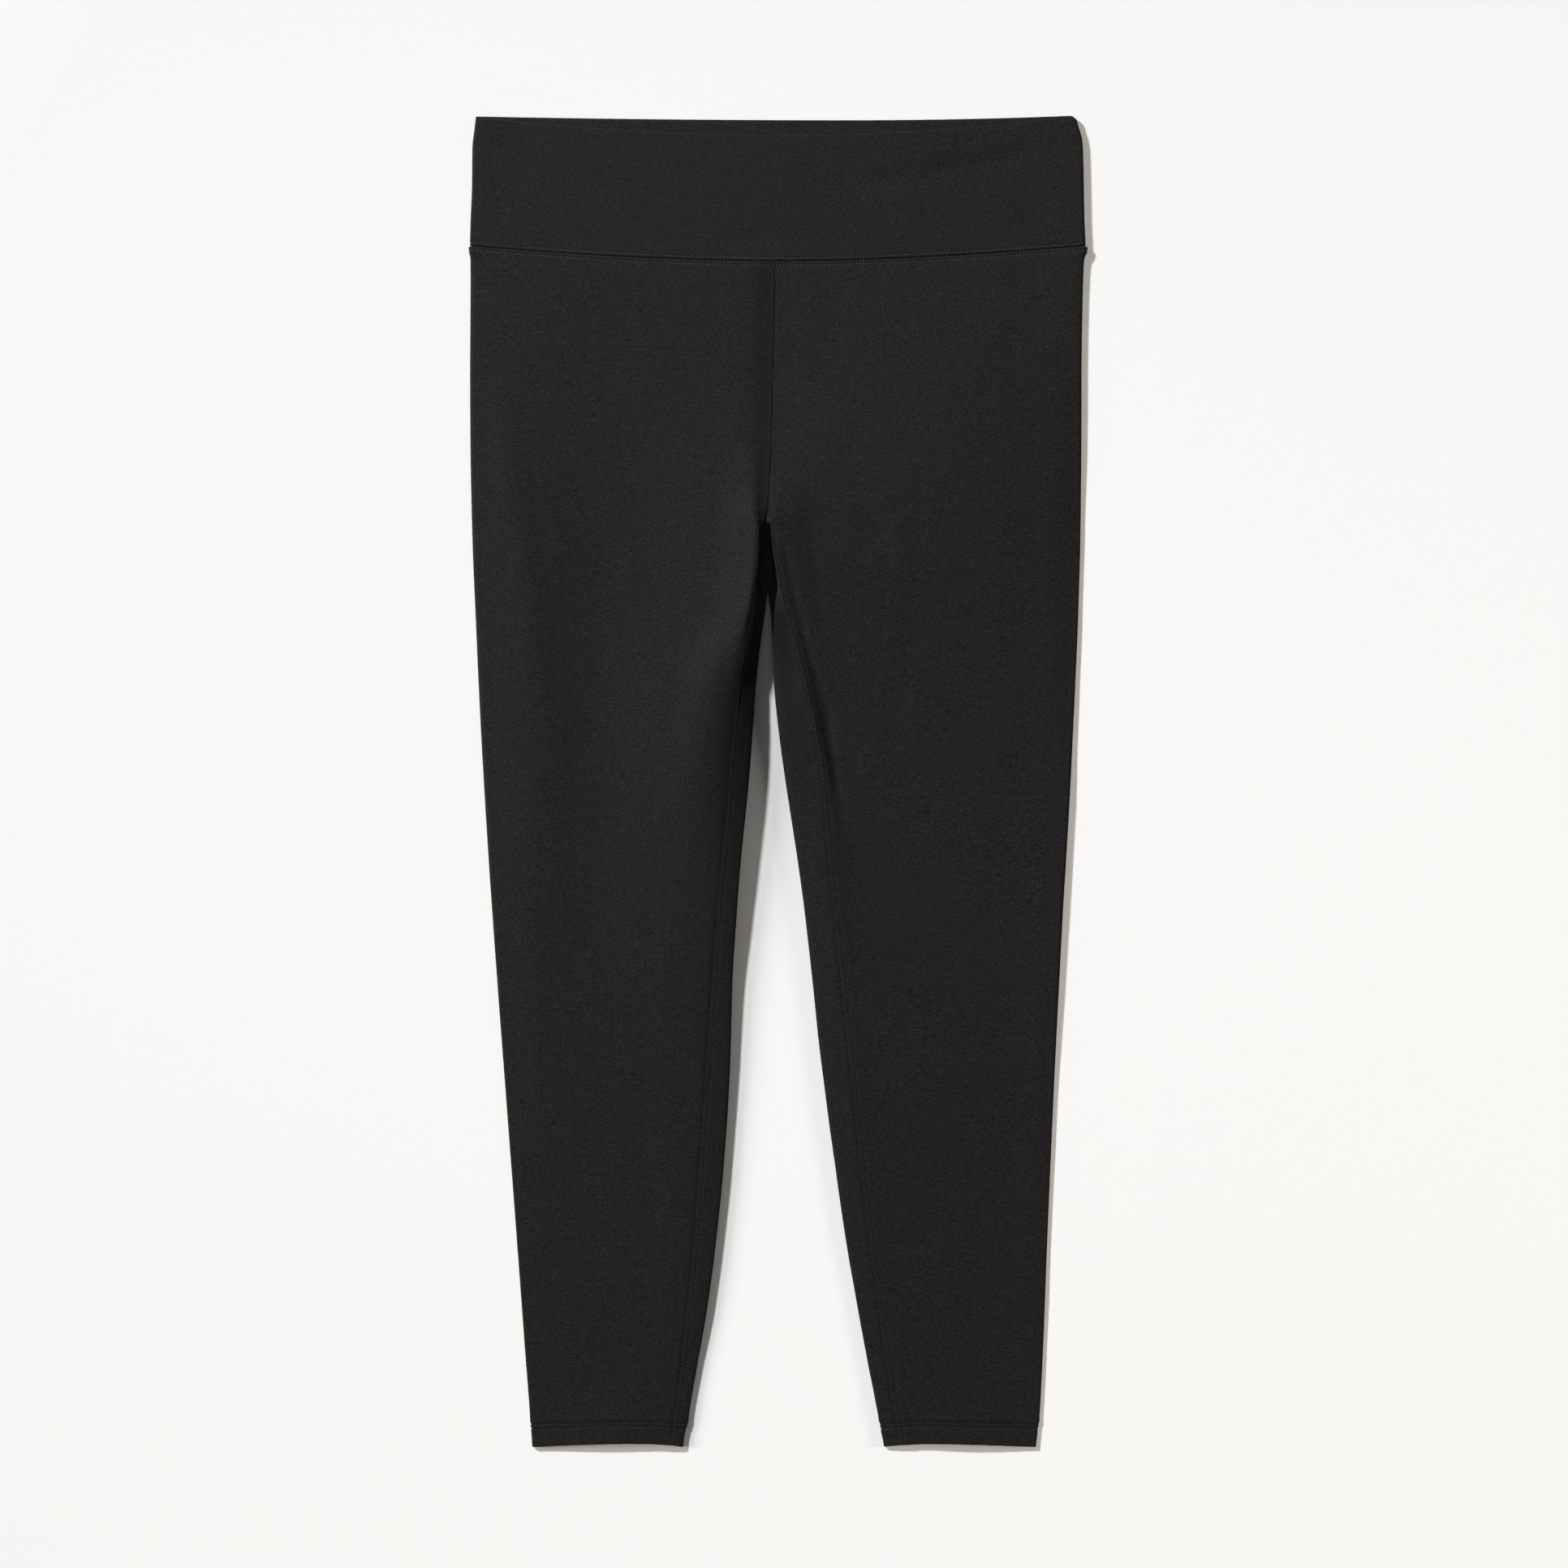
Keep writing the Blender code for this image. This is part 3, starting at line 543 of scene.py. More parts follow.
@dataclass(frozen=True)
class SeamRelief:
    """How the cloth sinks and puffs beside a seam that is stitched down on both sides."""

    ditch: float = 0.6
    ditch_width: float = 0.75
    puff: float = 0.28
    puff_at: float = 1.2
    puff_width: float = 0.9
    row_at: float = 2.6
    row: float = 0.34
    row_width: float = 0.62
    sink: float = 0.0
    sink_width: float = 2.6
    pucker: float = 0.14
    pucker_size: float = 6.0
    pucker_stretch: float = 0.35
    pucker_reach: float = 8.0

    def heights(self, away: Array, along: Array, seed: float) -> Array:
        """Relief of the cloth at a distance from the seam.

        Args:
            away: Distance from the seam, over 0 on either side.
            along: Distance along the seam, for its puckers.
            seed: Picks one pattern of puckers.

        Returns:
            The height to add at each point.
        """
        pucker = unevenness(along, away * self.pucker_stretch, self.pucker_size, seed)
        return (
            -self.ditch * dip(away, self.ditch_width)
            + self.puff * dip(away - self.puff_at, self.puff_width)
            - self.row * dip(away - self.row_at, self.row_width)
            - self.sink * dip(away, self.sink_width)
            + self.pucker * (pucker * settle(away, self.pucker_reach))
        )


@dataclass(frozen=True)
class HemRelief:
    """How a turned hem stands up, and sinks under its two rows of stitches."""

    rows: tuple[float, float] = (12.7, 15.6)
    groove: float = 0.6
    groove_width: float = 0.85
    edge: float = 0.22
    edge_reach: float = 9.0
    turning: float = 0.1
    turning_at: float = 19.0
    turning_width: float = 1.8
    ripple: float = 0.16
    ripple_size: float = 7.0
    ripple_from: float = 14.0
    ripple_reach: float = 9.0

    def heights(self, above: Array, along: Array, seed: float) -> Array:
        """Relief of the cloth at a distance above the hem's edge.

        Args:
            above: Distance from the edge.
            along: Distance along the hem, for its ripples.
            seed: Picks one pattern of ripples.

        Returns:
            The height to add at each point.
        """
        total = self.edge * settle(above, self.edge_reach)
        total = total + self.turning * dip(above - self.turning_at, self.turning_width)
        for row in self.rows:
            total = total - self.groove * dip(above - row, self.groove_width)
        ripple = self.ripple * unevenness(along, above, self.ripple_size, seed)
        return total + ripple * settle(above - self.ripple_from, self.ripple_reach)


def new_object(name: str, data: bpy.types.ID) -> bpy.types.Object:
    """A new object with the given data, linked to the scene."""
    made = bpy.data.objects.new(name, data)
    bpy.context.scene.collection.objects.link(made)
    return made


def mesh_object(
    name: str, points: Array, faces: list, material: bpy.types.Material, painted_shading: Array | None = None
) -> bpy.types.Object:
    """A smooth-shaded object from points and faces, with no loose vertices.

    Args:
        name: The object's name.
        points: Its vertices, in millimetres.
        faces: Vertex numbers of each face.
        material: Its material.
        painted_shading: Painted shade and painted light on the cloth at each vertex, as a factor on its
            colour, or None on thread.

    Returns:
        The object, linked to the scene.
    """
    mesh = bpy.data.meshes.new(name)
    mesh.from_pydata((points * MM).tolist(), [], faces)
    if painted_shading is not None:
        mesh.attributes.new(PAINTED_SHADING_NAME, "FLOAT", "POINT").data.foreach_set("value", painted_shading)
    build = bmesh.new()
    build.from_mesh(mesh)
    bmesh.ops.delete(build, geom=[v for v in build.verts if not v.link_faces], context="VERTS")
    build.to_mesh(mesh)
    build.free()
    mesh.shade_smooth()
    mesh.set_sharp_from_angle(angle=SHARP_ANGLE)
    mesh.materials.append(material)
    return new_object(name, mesh)


def numbered(grid: Array, first: int, closed_from: int) -> Array:
    """Vertex numbers of a grid, counted from first, with the tube's two ends sharing theirs."""
    rows, columns = grid.shape[:2]
    numbers = first + np.arange(rows * columns).reshape(rows, columns)
    numbers[closed_from:, -1] = numbers[closed_from:, 0]
    return numbers


def rim_rows(outer: Array, inner: Array, inwards: Array) -> list[Array]:
    """Rows of points that round an edge of the cloth into a half circle.

    Args:
        outer: Points along the outer skin's edge.
        inner: Points along the inner skin's edge, as many.
        inwards: Points one row further in on the outer skin.

    Returns:
        The rows, from the outer skin to the inner.
    """
    middle, half = (outer + inner) / 2, (outer - inner) / 2
    out = unit(outer - inwards) * np.linalg.norm(half, axis=1, keepdims=True)
    turns = (math.pi / 4, math.pi / 2, 3 * math.pi / 4)
    return [middle + half * math.cos(a) + out * math.sin(a) for a in turns]


def rim_faces(outer: Array, between: list[Array], inner: Array, turn: bool) -> list[list[int]]:
    """Faces from an edge of the outer skin over the rows between to the sparser edge of the inner skin.

    Args:
        outer: Vertex numbers along the outer skin's edge.
        between: Vertex numbers of the rows that round the rim, each as long as outer.
        inner: Vertex numbers along the inner skin's edge, every second one.
        turn: Whether the faces are turned over.

    Returns:
        The faces.
    """
    faces = []
    rows = [outer, *between]
    for a, b in zip(rows, rows[1:]):
        faces += [[a[k], b[k], b[k + 1], a[k + 1]] for k in range(len(a) - 1)]
    edge = rows[-1]
    for k in range(len(inner) - 1):
        faces.append([edge[2 * k], inner[k], edge[2 * k + 1]])
        faces.append([edge[2 * k + 1], inner[k], inner[k + 1]])
        faces.append([edge[2 * k + 1], inner[k + 1], edge[2 * k + 2]])
    return [face[::-1] for face in faces] if turn else faces


@dataclass
class Shell:
    """A closed shell of cloth through a grid of points.

    The outer skin has the whole grid, and the inner skin every second row and column. From the row
    closed_from on, the two ends of each row are one point, so the shell is a tube there.
    """

    name: str
    grid: Array
    thickness: float
    closed_from: int
    outward: int
    round_first: bool = False
    round_last: bool = False
    skin: Array = field(init=False)
    painted_shading: Array = field(init=False)

    def __post_init__(self) -> None:
        """Starts with a plain outer skin and no painted shade or light."""
        self.skin = self.grid
        self.painted_shading = np.ones(self.grid.shape[:2])

    def normals(self) -> Array:
        """Unit normals of the grid, out of the cloth."""
        across = np.gradient(self.grid, axis=1)
        if self.closed_from < len(self.grid):
            tube = self.grid[self.closed_from :]
            across[self.closed_from :, 0] = across[self.closed_from :, -1] = (tube[:, 1] - tube[:, -2]) / 2
        return unit(np.cross(np.gradient(self.grid, axis=0), across)) * self.outward

    def shape(self, form: Array, relief: Array) -> None:
        """Moves the whole cloth by form and its outer skin by relief, both along the cloth's own normals."""
        self.grid = self.grid + self.normals() * form[..., None]
        self.skin = self.grid + self.normals() * relief[..., None]

    def trace(self, rows: Array, columns: Array) -> Line:
        """Points and unit normals of the outer skin at fractional rows and columns.

        Args:
            rows: A row number for each point.
            columns: A column number for each point.

        Returns:
            The points and their normals.
        """
        i = np.clip(np.floor(rows).astype(int), 0, self.skin.shape[0] - 2)
        j = np.clip(np.floor(columns).astype(int), 0, self.skin.shape[1] - 2)
        u, v = (rows - i)[:, None], (columns - j)[:, None]
        found = []
        for values in (self.skin, self.normals()):
            upper = values[i, j] * (1 - v) + values[i, j + 1] * v
            lower = values[i + 1, j] * (1 - v) + values[i + 1, j + 1] * v
            found.append(upper * (1 - u) + lower * u)
        return found[0], unit(found[1])

    def build(self, material: bpy.types.Material) -> bpy.types.Object:
        """The shell as an object in the given material, with a rim at each of its edges."""
        inner = self.grid - self.normals() * self.thickness
        sparse = inner[::2, ::2]
        points = [self.skin.reshape(-1, 3), sparse.reshape(-1, 3)]
        outer_at = numbered(self.skin, 0, self.closed_from)
        inner_at = numbered(sparse, outer_at.size, self.closed_from // 2)
        flip = self.outward > 0
        faces: list[list[int]] = []
        for at, turn in ((outer_at, flip), (inner_at, not flip)):
            quads = np.stack([at[:-1, :-1], at[1:, :-1], at[1:, 1:], at[:-1, 1:]], axis=-1).reshape(-1, 4)
            faces += (quads[:, ::-1] if turn else quads).tolist()
        ends = ((0, 1, self.round_first, not flip), (-1, -2, self.round_last, flip))
        for row, next_row, rounded, turn in ends:
            closed = row == -1 and self.closed_from < len(self.skin)
            between = []
            if rounded:
                for made in rim_rows(self.skin[row], inner[row], self.skin[next_row]):
                    numbers = sum(len(p) for p in points) + np.arange(len(made))
                    points.append(made)
                    if closed:
                        numbers[-1] = numbers[0]
                    between.append(numbers)
                for end in () if closed else (0, -1):
                    cap = [outer_at[row, end], *(b[end] for b in between), inner_at[row, end]]
                    faces.append([int(v) for v in (cap if turn == (end == 0) else cap[::-1])])
            faces += rim_faces(outer_at[row], between, inner_at[row], turn)
        stop = min(self.closed_from, len(self.skin) - 1)
        for side, turn in ((0, flip), (-1, not flip)):
            faces += rim_faces(outer_at[: stop + 1, side], [], inner_at[: stop // 2 + 1, side], turn)
        # painted shade and light at each vertex of the skins; the added rim rows keep the plain colour
        painted_shading = np.ones(sum(len(p) for p in points))
        painted_shading[: self.painted_shading.size] = self.painted_shading.ravel()
        return mesh_object(self.name, np.concatenate(points), faces, material, painted_shading)


@dataclass(frozen=True)
class Stitch:
    """One kind of stitch: the visible bar of thread between two needle holes."""

    pitch: float = 2.1
    length: float = 1.15
    width: float = 0.58
    height: float = 0.34
    lean: float = 0.0
    rings: int = 6
    sides: int = 6
    plumpness: float = 0.6
    arch: float = 0.45

    def bar(self) -> tuple[Array, list[list[int]]]:
        """The vertices and faces of one bar of thread along its own x axis, arched over the cloth."""
        along = np.cos(np.linspace(math.pi, 0.0, self.rings + 2))[1:-1]
        girth = np.sqrt(np.maximum(1 - along**2, 0.0)) ** self.plumpness
        turn = np.linspace(0.0, 2 * math.pi, self.sides, endpoint=False)
        x = np.repeat(along * self.length / 2, self.sides)
        y = np.outer(girth, np.cos(turn)).ravel() * self.width / 2
        z = np.outer(girth, np.sin(turn)).ravel() * self.height / 2
        z += np.repeat((1 - along**2) * self.height * self.arch, self.sides)
        tips = [[-self.length / 2, 0.0, 0.0], [self.length / 2, 0.0, 0.0]]
        points = np.concatenate([np.stack([x, y, z], axis=1), tips])
        faces = []
        for ring in range(self.rings - 1):
            for side in range(self.sides):
                a, b = ring * self.sides + side, ring * self.sides + (side + 1) % self.sides
                faces.append([a, b, b + self.sides, a + self.sides])
        last = (self.rings - 1) * self.sides
        for side in range(self.sides):
            a, b = side, (side + 1) % self.sides
            faces.append([len(points) - 2, b, a])
            faces.append([len(points) - 1, last + a, last + b])
        return points, faces


WAIST_STITCH = Stitch(pitch=2.4, length=1.05)


@dataclass(frozen=True)
class StitchRows:
    """Rows of one kind of stitch that lie on the cloth, gathered into one mesh."""

    name: str
    stitch: Stitch
    seed: int
    stray: float = 0.05
    twist: float = 0.07
    growth: float = 0.08

    def row(self, number: int, line: Array, normals: Array) -> Array:
        """One row of stitches along a line on the cloth, each a little uneven.

        Args:
            number: Rows laid before this one, which picks its unevenness.
            line: Points of the line.
            normals: The cloth's unit normal at each.

        Returns:
            The vertices of each stitch.
        """
        rng = np.random.default_rng(self.seed + number)
        reach = reach_along(line)
        places = np.arange(self.stitch.pitch / 2, reach[-1], self.stitch.pitch)
        places = places + rng.uniform(-self.stray, self.stray, len(places)) * self.stitch.pitch
        ahead, behind = (
            read_along(np.clip(places + half, 0, reach[-1]), reach, line)
            for half in (self.stitch.length / 2, -self.stitch.length / 2)
        )
        centre, up = read_along(places, reach, line), unit(read_along(places, reach, normals))
        along = unit(ahead - behind)
        across = unit(np.cross(up, along))
        turn = np.radians(self.stitch.lean) + rng.normal(0.0, self.twist, len(places))
        cos, sin = np.cos(turn)[:, None], np.sin(turn)[:, None]
        axes = [axis[:, None] for axis in (along * cos + across * sin, across * cos - along * sin, up)]
        size = rng.uniform(1.0 - self.growth, 1.0 + self.growth, (len(places), 1, 1))
        bar = self.stitch.bar()[0][None]
        return centre[:, None] + size * sum(bar[..., k : k + 1] * axis for k, axis in enumerate(axes))

    def build(self, lines: Sequence[Line], material: bpy.types.Material) -> bpy.types.Object:
        """The rows along some lines as one object.

        Args:
            lines: Points and unit normals of each line.
            material: The thread.

        Returns:
            The object, linked to the scene.
        """
        bars = np.concatenate([self.row(number, *line) for number, line in enumerate(lines)])
        points, bar_faces = self.stitch.bar()
        faces = [[v + k * len(points) for v in face] for k in range(len(bars)) for face in bar_faces]
        return mesh_object(self.name, bars.reshape(-1, 3), faces, material)


class Nodes:
    """Short ways to lay out a node tree."""

    def __init__(self, tree: bpy.types.NodeTree) -> None:
        """Takes the tree to fill."""
        self.tree = tree

    def fill(self, node: bpy.types.Node, values: dict) -> None:
        """Sets a node's inputs, by name or number, to values or links them from output sockets."""
        for name, value in values.items():
            if isinstance(value, Socket):
                self.tree.links.new(value, node.inputs[name])
            else:
                node.inputs[name].default_value = value

    def add(self, kind: str, values: dict | None = None, **settings: object) -> bpy.types.Node:
        """A node of a kind, with its inputs set or linked.

        Args:
            kind: Blender's name of the node type.
            values: Input name or number to a value, or to the output socket to link from.
            settings: The node's own properties.

        Returns:
            The node.
        """
        node = self.tree.nodes.new(kind)
        for name, value in settings.items():
            setattr(node, name, value)
        self.fill(node, values or {})
        return node

    def math(self, operation: str, first: Socket | float, second: Socket | float) -> Socket:
        """The result of a Math node on two values or sockets."""
        return self.add("ShaderNodeMath", {0: first, 1: second}, operation=operation).outputs[0]

    def noise(self, place: Socket, scale: Socket, detail: float, roughness: float) -> Socket:
        """A noise from 0 to 1 at a place."""
        values = {"Vector": place, "Scale": scale, "Detail": detail, "Roughness": roughness}
        return self.add("ShaderNodeTexNoise", values).outputs["Fac"]

    def spread(self, value: Socket, middle: float, swing: float) -> Socket:
        """A 0 to 1 value spread over a swing to both sides of a middle."""
        values = {"Value": value, "To Min": middle - swing, "To Max": middle + swing}
        return self.add("ShaderNodeMapRange", values).outputs["Result"]

    def scaled(self, colour: Colour, shade: Socket) -> Socket:
        """A colour made brighter or darker by a shade."""
        return self.add("ShaderNodeVectorMath", {0: colour, "Scale": shade}, operation="SCALE").outputs[0]


def new_group(
    name: str, inputs: dict[str, float | None], outputs: Sequence[str]
) -> tuple[Nodes, dict, bpy.types.Node]:
    """An empty shader node group with named sockets.

    Args:
        name: The group's name.
        inputs: Input name to its default, or to None for a vector.
        outputs: Names of its number outputs.

    Returns:
        Its layout, its input sockets by name, and its output node.
    """
    tree = bpy.data.node_groups.new(name, "ShaderNodeTree")
    for label, value in inputs.items():
        kind = "NodeSocketVector" if value is None else "NodeSocketFloat"
        socket = tree.interface.new_socket(label, in_out="INPUT", socket_type=kind)
        if value is not None:
            socket.default_value = value
    for label in outputs:
        tree.interface.new_socket(label, in_out="OUTPUT", socket_type="NodeSocketFloat")
    nodes = Nodes(tree)
    entry = nodes.add("NodeGroupInput")
    return nodes, {label: entry.outputs[label] for label in inputs}, nodes.add("NodeGroupOutput")


def nap_group() -> bpy.types.NodeTree:
    """The brushed face of the knit: fine fibres, short streaks across, and stray pale specks."""
    nodes, into, out = new_group(
        "brushed_nap",
        {"Place": None, "Fineness": 760.0, "Contrast": 1.0, "Specks": 0.3},
        ("Shade", "Height"),
    )
    place, fineness = into["Place"], into["Fineness"]
    grain = nodes.noise(place, fineness, 3.0, 0.65)
    stretched = nodes.add("ShaderNodeMapping", {"Vector": place, "Scale": STREAK_SCALE})
    streaks = nodes.noise(stretched.outputs["Vector"], fineness, 2.0, 0.5)
    parts = nodes.math("MULTIPLY", grain, FIBRES), nodes.math("MULTIPLY", streaks, STREAKS)
    height = nodes.math("ADD", *parts)
    speckle = nodes.noise(place, nodes.math("MULTIPLY", fineness, SPECK_SCALE), 1.0, 0.4)
    peaks = nodes.add("ShaderNodeMapRange", {"Value": speckle, "From Min": SPECK_FROM, "From Max": SPECK_TO})
    specks = nodes.math("MULTIPLY", peaks.outputs["Result"], into["Specks"])
    swing = nodes.math("MULTIPLY", nodes.math("SUBTRACT", height, 0.5), into["Contrast"])
    shade = nodes.math("ADD", nodes.math("ADD", swing, 1.0), specks)
    nodes.fill(out, {"Shade": nodes.math("MAXIMUM", shade, DARKEST), "Height": height})
    return nodes.tree


def mottle_group() -> bpy.types.NodeTree:
    """Soft patches where the nap lies a little differently, in two sizes."""
    nodes, into, out = new_group(
        "nap_patches", {"Place": None, "Broad": 14.0, "Small": 120.0, "Amount": 0.1}, ("Shade",)
    )
    patches = (nodes.noise(into["Place"], into[size], 2.0, 0.5) for size in ("Broad", "Small"))
    swings = [nodes.math("MULTIPLY", nodes.math("SUBTRACT", patch, 0.5), into["Amount"]) for patch in patches]
    nodes.fill(out, {"Shade": nodes.math("ADD", nodes.math("ADD", *swings), 1.0)})
    return nodes.tree


@dataclass(frozen=True)
class Effects:
    """The shared effects of the cloth, each built once."""

    nap: bpy.types.NodeTree = field(default_factory=nap_group)
    mottle: bpy.types.NodeTree = field(default_factory=mottle_group)


@dataclass(frozen=True)
class Finish:
    """A finish whose colour and roughness follow fine fibres."""

    name: str
    colour: Colour
    fineness: float = 900.0
    contrast: float = 4.5
    specks: float = 0.2
    roughness: float = 0.5
    swing: float = 0.08
    shine: float = 0.4
    sheen: float = 0.05

    def material(self, effects: Effects) -> bpy.types.Material:
        """The finish as a material with the shared effects."""
        material = bpy.data.materials.new(self.name)
        material.use_nodes = True
        nodes = Nodes(material.node_tree)
        place = nodes.add("ShaderNodeTexCoord").outputs["Object"]
        nap = nodes.add(
            "ShaderNodeGroup",
            {"Place": place, "Fineness": self.fineness, "Contrast": self.contrast, "Specks": self.specks},
            node_tree=effects.nap,
        )
        values = {
            "Base Color": nodes.scaled(self.colour, self.shade(nodes, effects, place, nap.outputs["Shade"])),
            "Roughness": nodes.spread(nap.outputs["Height"], self.roughness, self.swing),
            "Specular IOR Level": self.shine,
            "Sheen Weight": self.sheen,
            **self.more(nodes, nap.outputs["Height"]),
        }
        nodes.fill(material.node_tree.nodes["Principled BSDF"], values)
        return material

    def shade(self, nodes: Nodes, effects: Effects, place: Socket, nap: Socket) -> Socket:
        """What darkens or brightens the colour from place to place: here the nap alone."""
        return nap

    def more(self, nodes: Nodes, height: Socket) -> dict:
        """Further inputs of the shader: none here."""
        return {}


@dataclass(frozen=True)
class ThreadFinish(Finish):
    """The sewing thread: smoother than the knit, so it catches a little more light."""


@dataclass(frozen=True)
class KnitFinish(Finish):
    """A brushed knit: a matt charcoal face with fine nap."""

    fineness: float = 1120.0
    contrast: float = 6.2
    specks: float = 0.08
    roughness: float = 0.86
    swing: float = 0.06
    shine: float = 0.14
    patches: float = 0.1
    bump: float = 0.0002
    sheen_rough: float = 0.45
    sheen_tint: tuple[float, float, float, float] = (1.0, 0.96, 0.98, 1.0)

    def shade(self, nodes: Nodes, effects: Effects, place: Socket, nap: Socket) -> Socket:
        """The nap, its soft patches, and the painted shade and light that the cloth carries as a point
        attribute.
        """
        values = {"Place": place, "Amount": self.patches}
        patches = nodes.add("ShaderNodeGroup", values, node_tree=effects.mottle).outputs["Shade"]
        # painted shade by the legs' inner edges and painted light by a side fold, read from the cloth
        painted_shading = nodes.add("ShaderNodeAttribute", attribute_name=PAINTED_SHADING_NAME).outputs["Fac"]
        return nodes.math("MULTIPLY", nodes.math("MULTIPLY", nap, patches), painted_shading)

    def more(self, nodes: Nodes, height: Socket) -> dict:
        """The relief of the fibres, and the sheen's colour."""
        bump = nodes.add("ShaderNodeBump", {"Height": height, "Strength": 1.0, "Distance": self.bump})
        return {
            "Normal": bump.outputs["Normal"],
            "Sheen Roughness": self.sheen_rough,
            "Sheen Tint": self.sheen_tint,
        }


class Threads(NamedTuple):
    """The sewing threads, from the palest to the darkest."""

    pale: bpy.types.Material
    middle: bpy.types.Material
    dark: bpy.types.Material


class Face(Enum):
    """The two halves of the waistband, by the way that their outer face looks."""

    FRONT = 1
    BACK = -1


@dataclass(kw_only=True)
class Panel:
    """One maker's piece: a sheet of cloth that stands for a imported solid, and its rows of stitches."""

    node: str
    flat: tuple[float, float]
    flat_area: float
    rests_on: tuple[str, ...] = ("surface",)
    creases: tuple[Crease, ...] = ()
    shell: Shell = field(init=False)

    def cloth(self, material: bpy.types.Material) -> bpy.types.Object:
        """Builds the sheet of cloth in the given material."""
        raise NotImplementedError

    def stitches(self, thread: Threads) -> list[bpy.types.Object]:
        """Builds the rows of stitches on the sheet in the given threads."""
        raise NotImplementedError

    def dress(self, knit: bpy.types.Material, thread: Threads) -> list[bpy.types.Object]:
        """Builds the sheet and its stitches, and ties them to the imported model.

        Args:
            knit: The cloth's material.
            thread: The stitches' materials.

        Returns:
            The sheet and its rows of stitches.
        """
        cloth = self.cloth(knit)
        stitches = self.stitches(thread)
        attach(cloth, BODY)
        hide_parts(self.node)
        for rows in stitches:
            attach(rows, BODY)
        for made in (cloth, *stitches):
            LOG.info("%s: %d faces", made.name, len(made.data.polygons))
        return [cloth, *stitches]


@dataclass(kw_only=True)
class Leg(Panel):
    """One leg with its half of the hips: a single sheet from the centre front round the side to the back."""

    sign: int
    side: tuple[Side, ...]
    thigh: tuple[Thigh, ...]
    folds: tuple[tuple[Fold, ...], ...]
    back_creases: tuple[Crease, ...]
    # painted shade beside the inner edge, listed by drop
    painted_shading: tuple[PaintedShade, ...]
    hem_rise: float
    seed: float
    wall_steps: int = 18
    near_steps: int = 8
    near_step: float = 0.75
    far_steps: int = 104
    fold_steps: int = 14
    back_steps: int = 40
    tuck_steps: int = 6
    tuck_height: float = 3.0
    seam: SeamRelief = SeamRelief(row_at=1.9, puff=0.0, ditch=0.2, row=0.3, row_width=0.7, sink=0.3)
    centre: SeamRelief = SeamRelief(row_at=1.55, puff=0.0, ditch=0.1, row=0.08, row_width=0.5, sink=0.04)
    waist: SeamRelief = SeamRelief(row_at=2.85, puff_at=1.2)
    hem: HemRelief = HemRelief()
    bulk: float = 0.5
    bulk_width: float = 5.0
    bulk_reach: float = 12.0
    seam_tuck: float = 0.0
    # painted light on the front beside the side fold, as a share of its colour
    side_painted_light: float = 0.0
    drops: Array = field(init=False)
    reach: Array = field(init=False)

    def __post_init__(self) -> None:
        """Sets the drops of the cross-sections, close together at the seams."""
        top = SEAM_DROP_SIDE
        stops = ((top + SEAM_GAP / 2, 0.7), (top + 8.0, 2.9), (274.0, 0.8), (290.0, 1.9), (FORK_DROP, 1.9))
        self.drops = spans((*stops, (345.0, 3.0), (LENGTH - 22.0, 0.8), (LENGTH - CLOTH / 2, 0.8)))

    @property
    def fold_at(self) -> int:
        """The column where the front ends and the side fold begins."""
        return self.wall_steps + self.near_steps + self.far_steps

    def wall(self, drop: float) -> Array:
        """The inner wall from its foot up to the seam.

        It is a hollow quarter curve in the channel below the crotch, and a bulging roll under a gentle strip
        further down.

        Args:
            drop: Where the leg is cut.

        Returns:
            The wall's points as (width, height), without the seam itself.
        """
        seam, seam_h, foot_h, roll = (cell(self.thigh, n, drop) for n in ("seam", "seam_h", "edge_h", "roll"))
        if drop > FORK_DROP:
            foot = cell(self.thigh, "edge", drop)
        else:
            foot = self.sign * cell(CENTRE_FRONT, "x", drop) + SEAM_GAP / 2
        across, rise = seam - foot, seam_h - foot_h
        hollow = np.array([(foot + LIP_FULLNESS * across, foot_h), (seam, seam_h - LIP_FULLNESS * rise)])
        shoulder_h = max(seam_h - STRIP_SLOPE * across, foot_h + 0.5 * rise)
        bulge = np.array(
            [(foot, foot_h + BULGE_FULLNESS * (shoulder_h - foot_h)), (foot + BULGE_AT * across, shoulder_h)]
        )
        (b, c), a, d = hollow * (1 - roll) + bulge * roll, np.array((foot, foot_h)), np.array((seam, seam_h))
        t = np.linspace(0.0, 1.0, WALL_SAMPLES)[:, None]
        line = (1 - t) ** 3 * a + 3 * (1 - t) ** 2 * t * b + 3 * (1 - t) * t**2 * c + t**3 * d
        reach = reach_along(line)
        closeness = 1.0 + WALL_CROWDING * min(max((reach[-1] - WALL_SHORT) / WALL_GROWTH, 0.0), 1.0)
        places = reach[-1] * (1 - (1 - np.arange(self.wall_steps) / self.wall_steps) ** closeness)
        return read_along(places, reach, line)

    def front(self, drop: float, flat: float) -> Array:
        """The front from the inseam to the side fold, over the fold lines.

        Args:
            drop: Where the leg is cut.
            flat: Width where the side fold begins.

        Returns:
            The front's points as (width, height), without the side fold's own.
        """
        places = [0.0, *(cell(line, "at", drop) for line in self.folds), 1.0]
        heights = [cell(line, "height", drop) for line in (*self.folds, self.side)]
        heights.insert(0, cell(self.thigh, "seam_h", drop))
        seam = cell(self.thigh, "seam", drop)
        span = flat - seam
        start = self.near_step * self.near_steps
        far = start + (span - start) * np.arange(self.far_steps) / self.far_steps
        share = np.concatenate([self.near_step * np.arange(self.near_steps), far]) / span
        lift = HEM_LIFT * settle(LENGTH - drop, HEM_LIFT_REACH) * np.sin(math.pi * share) ** 2
        return np.stack([seam + span * share, curve(places, heights, share) + lift], axis=1)

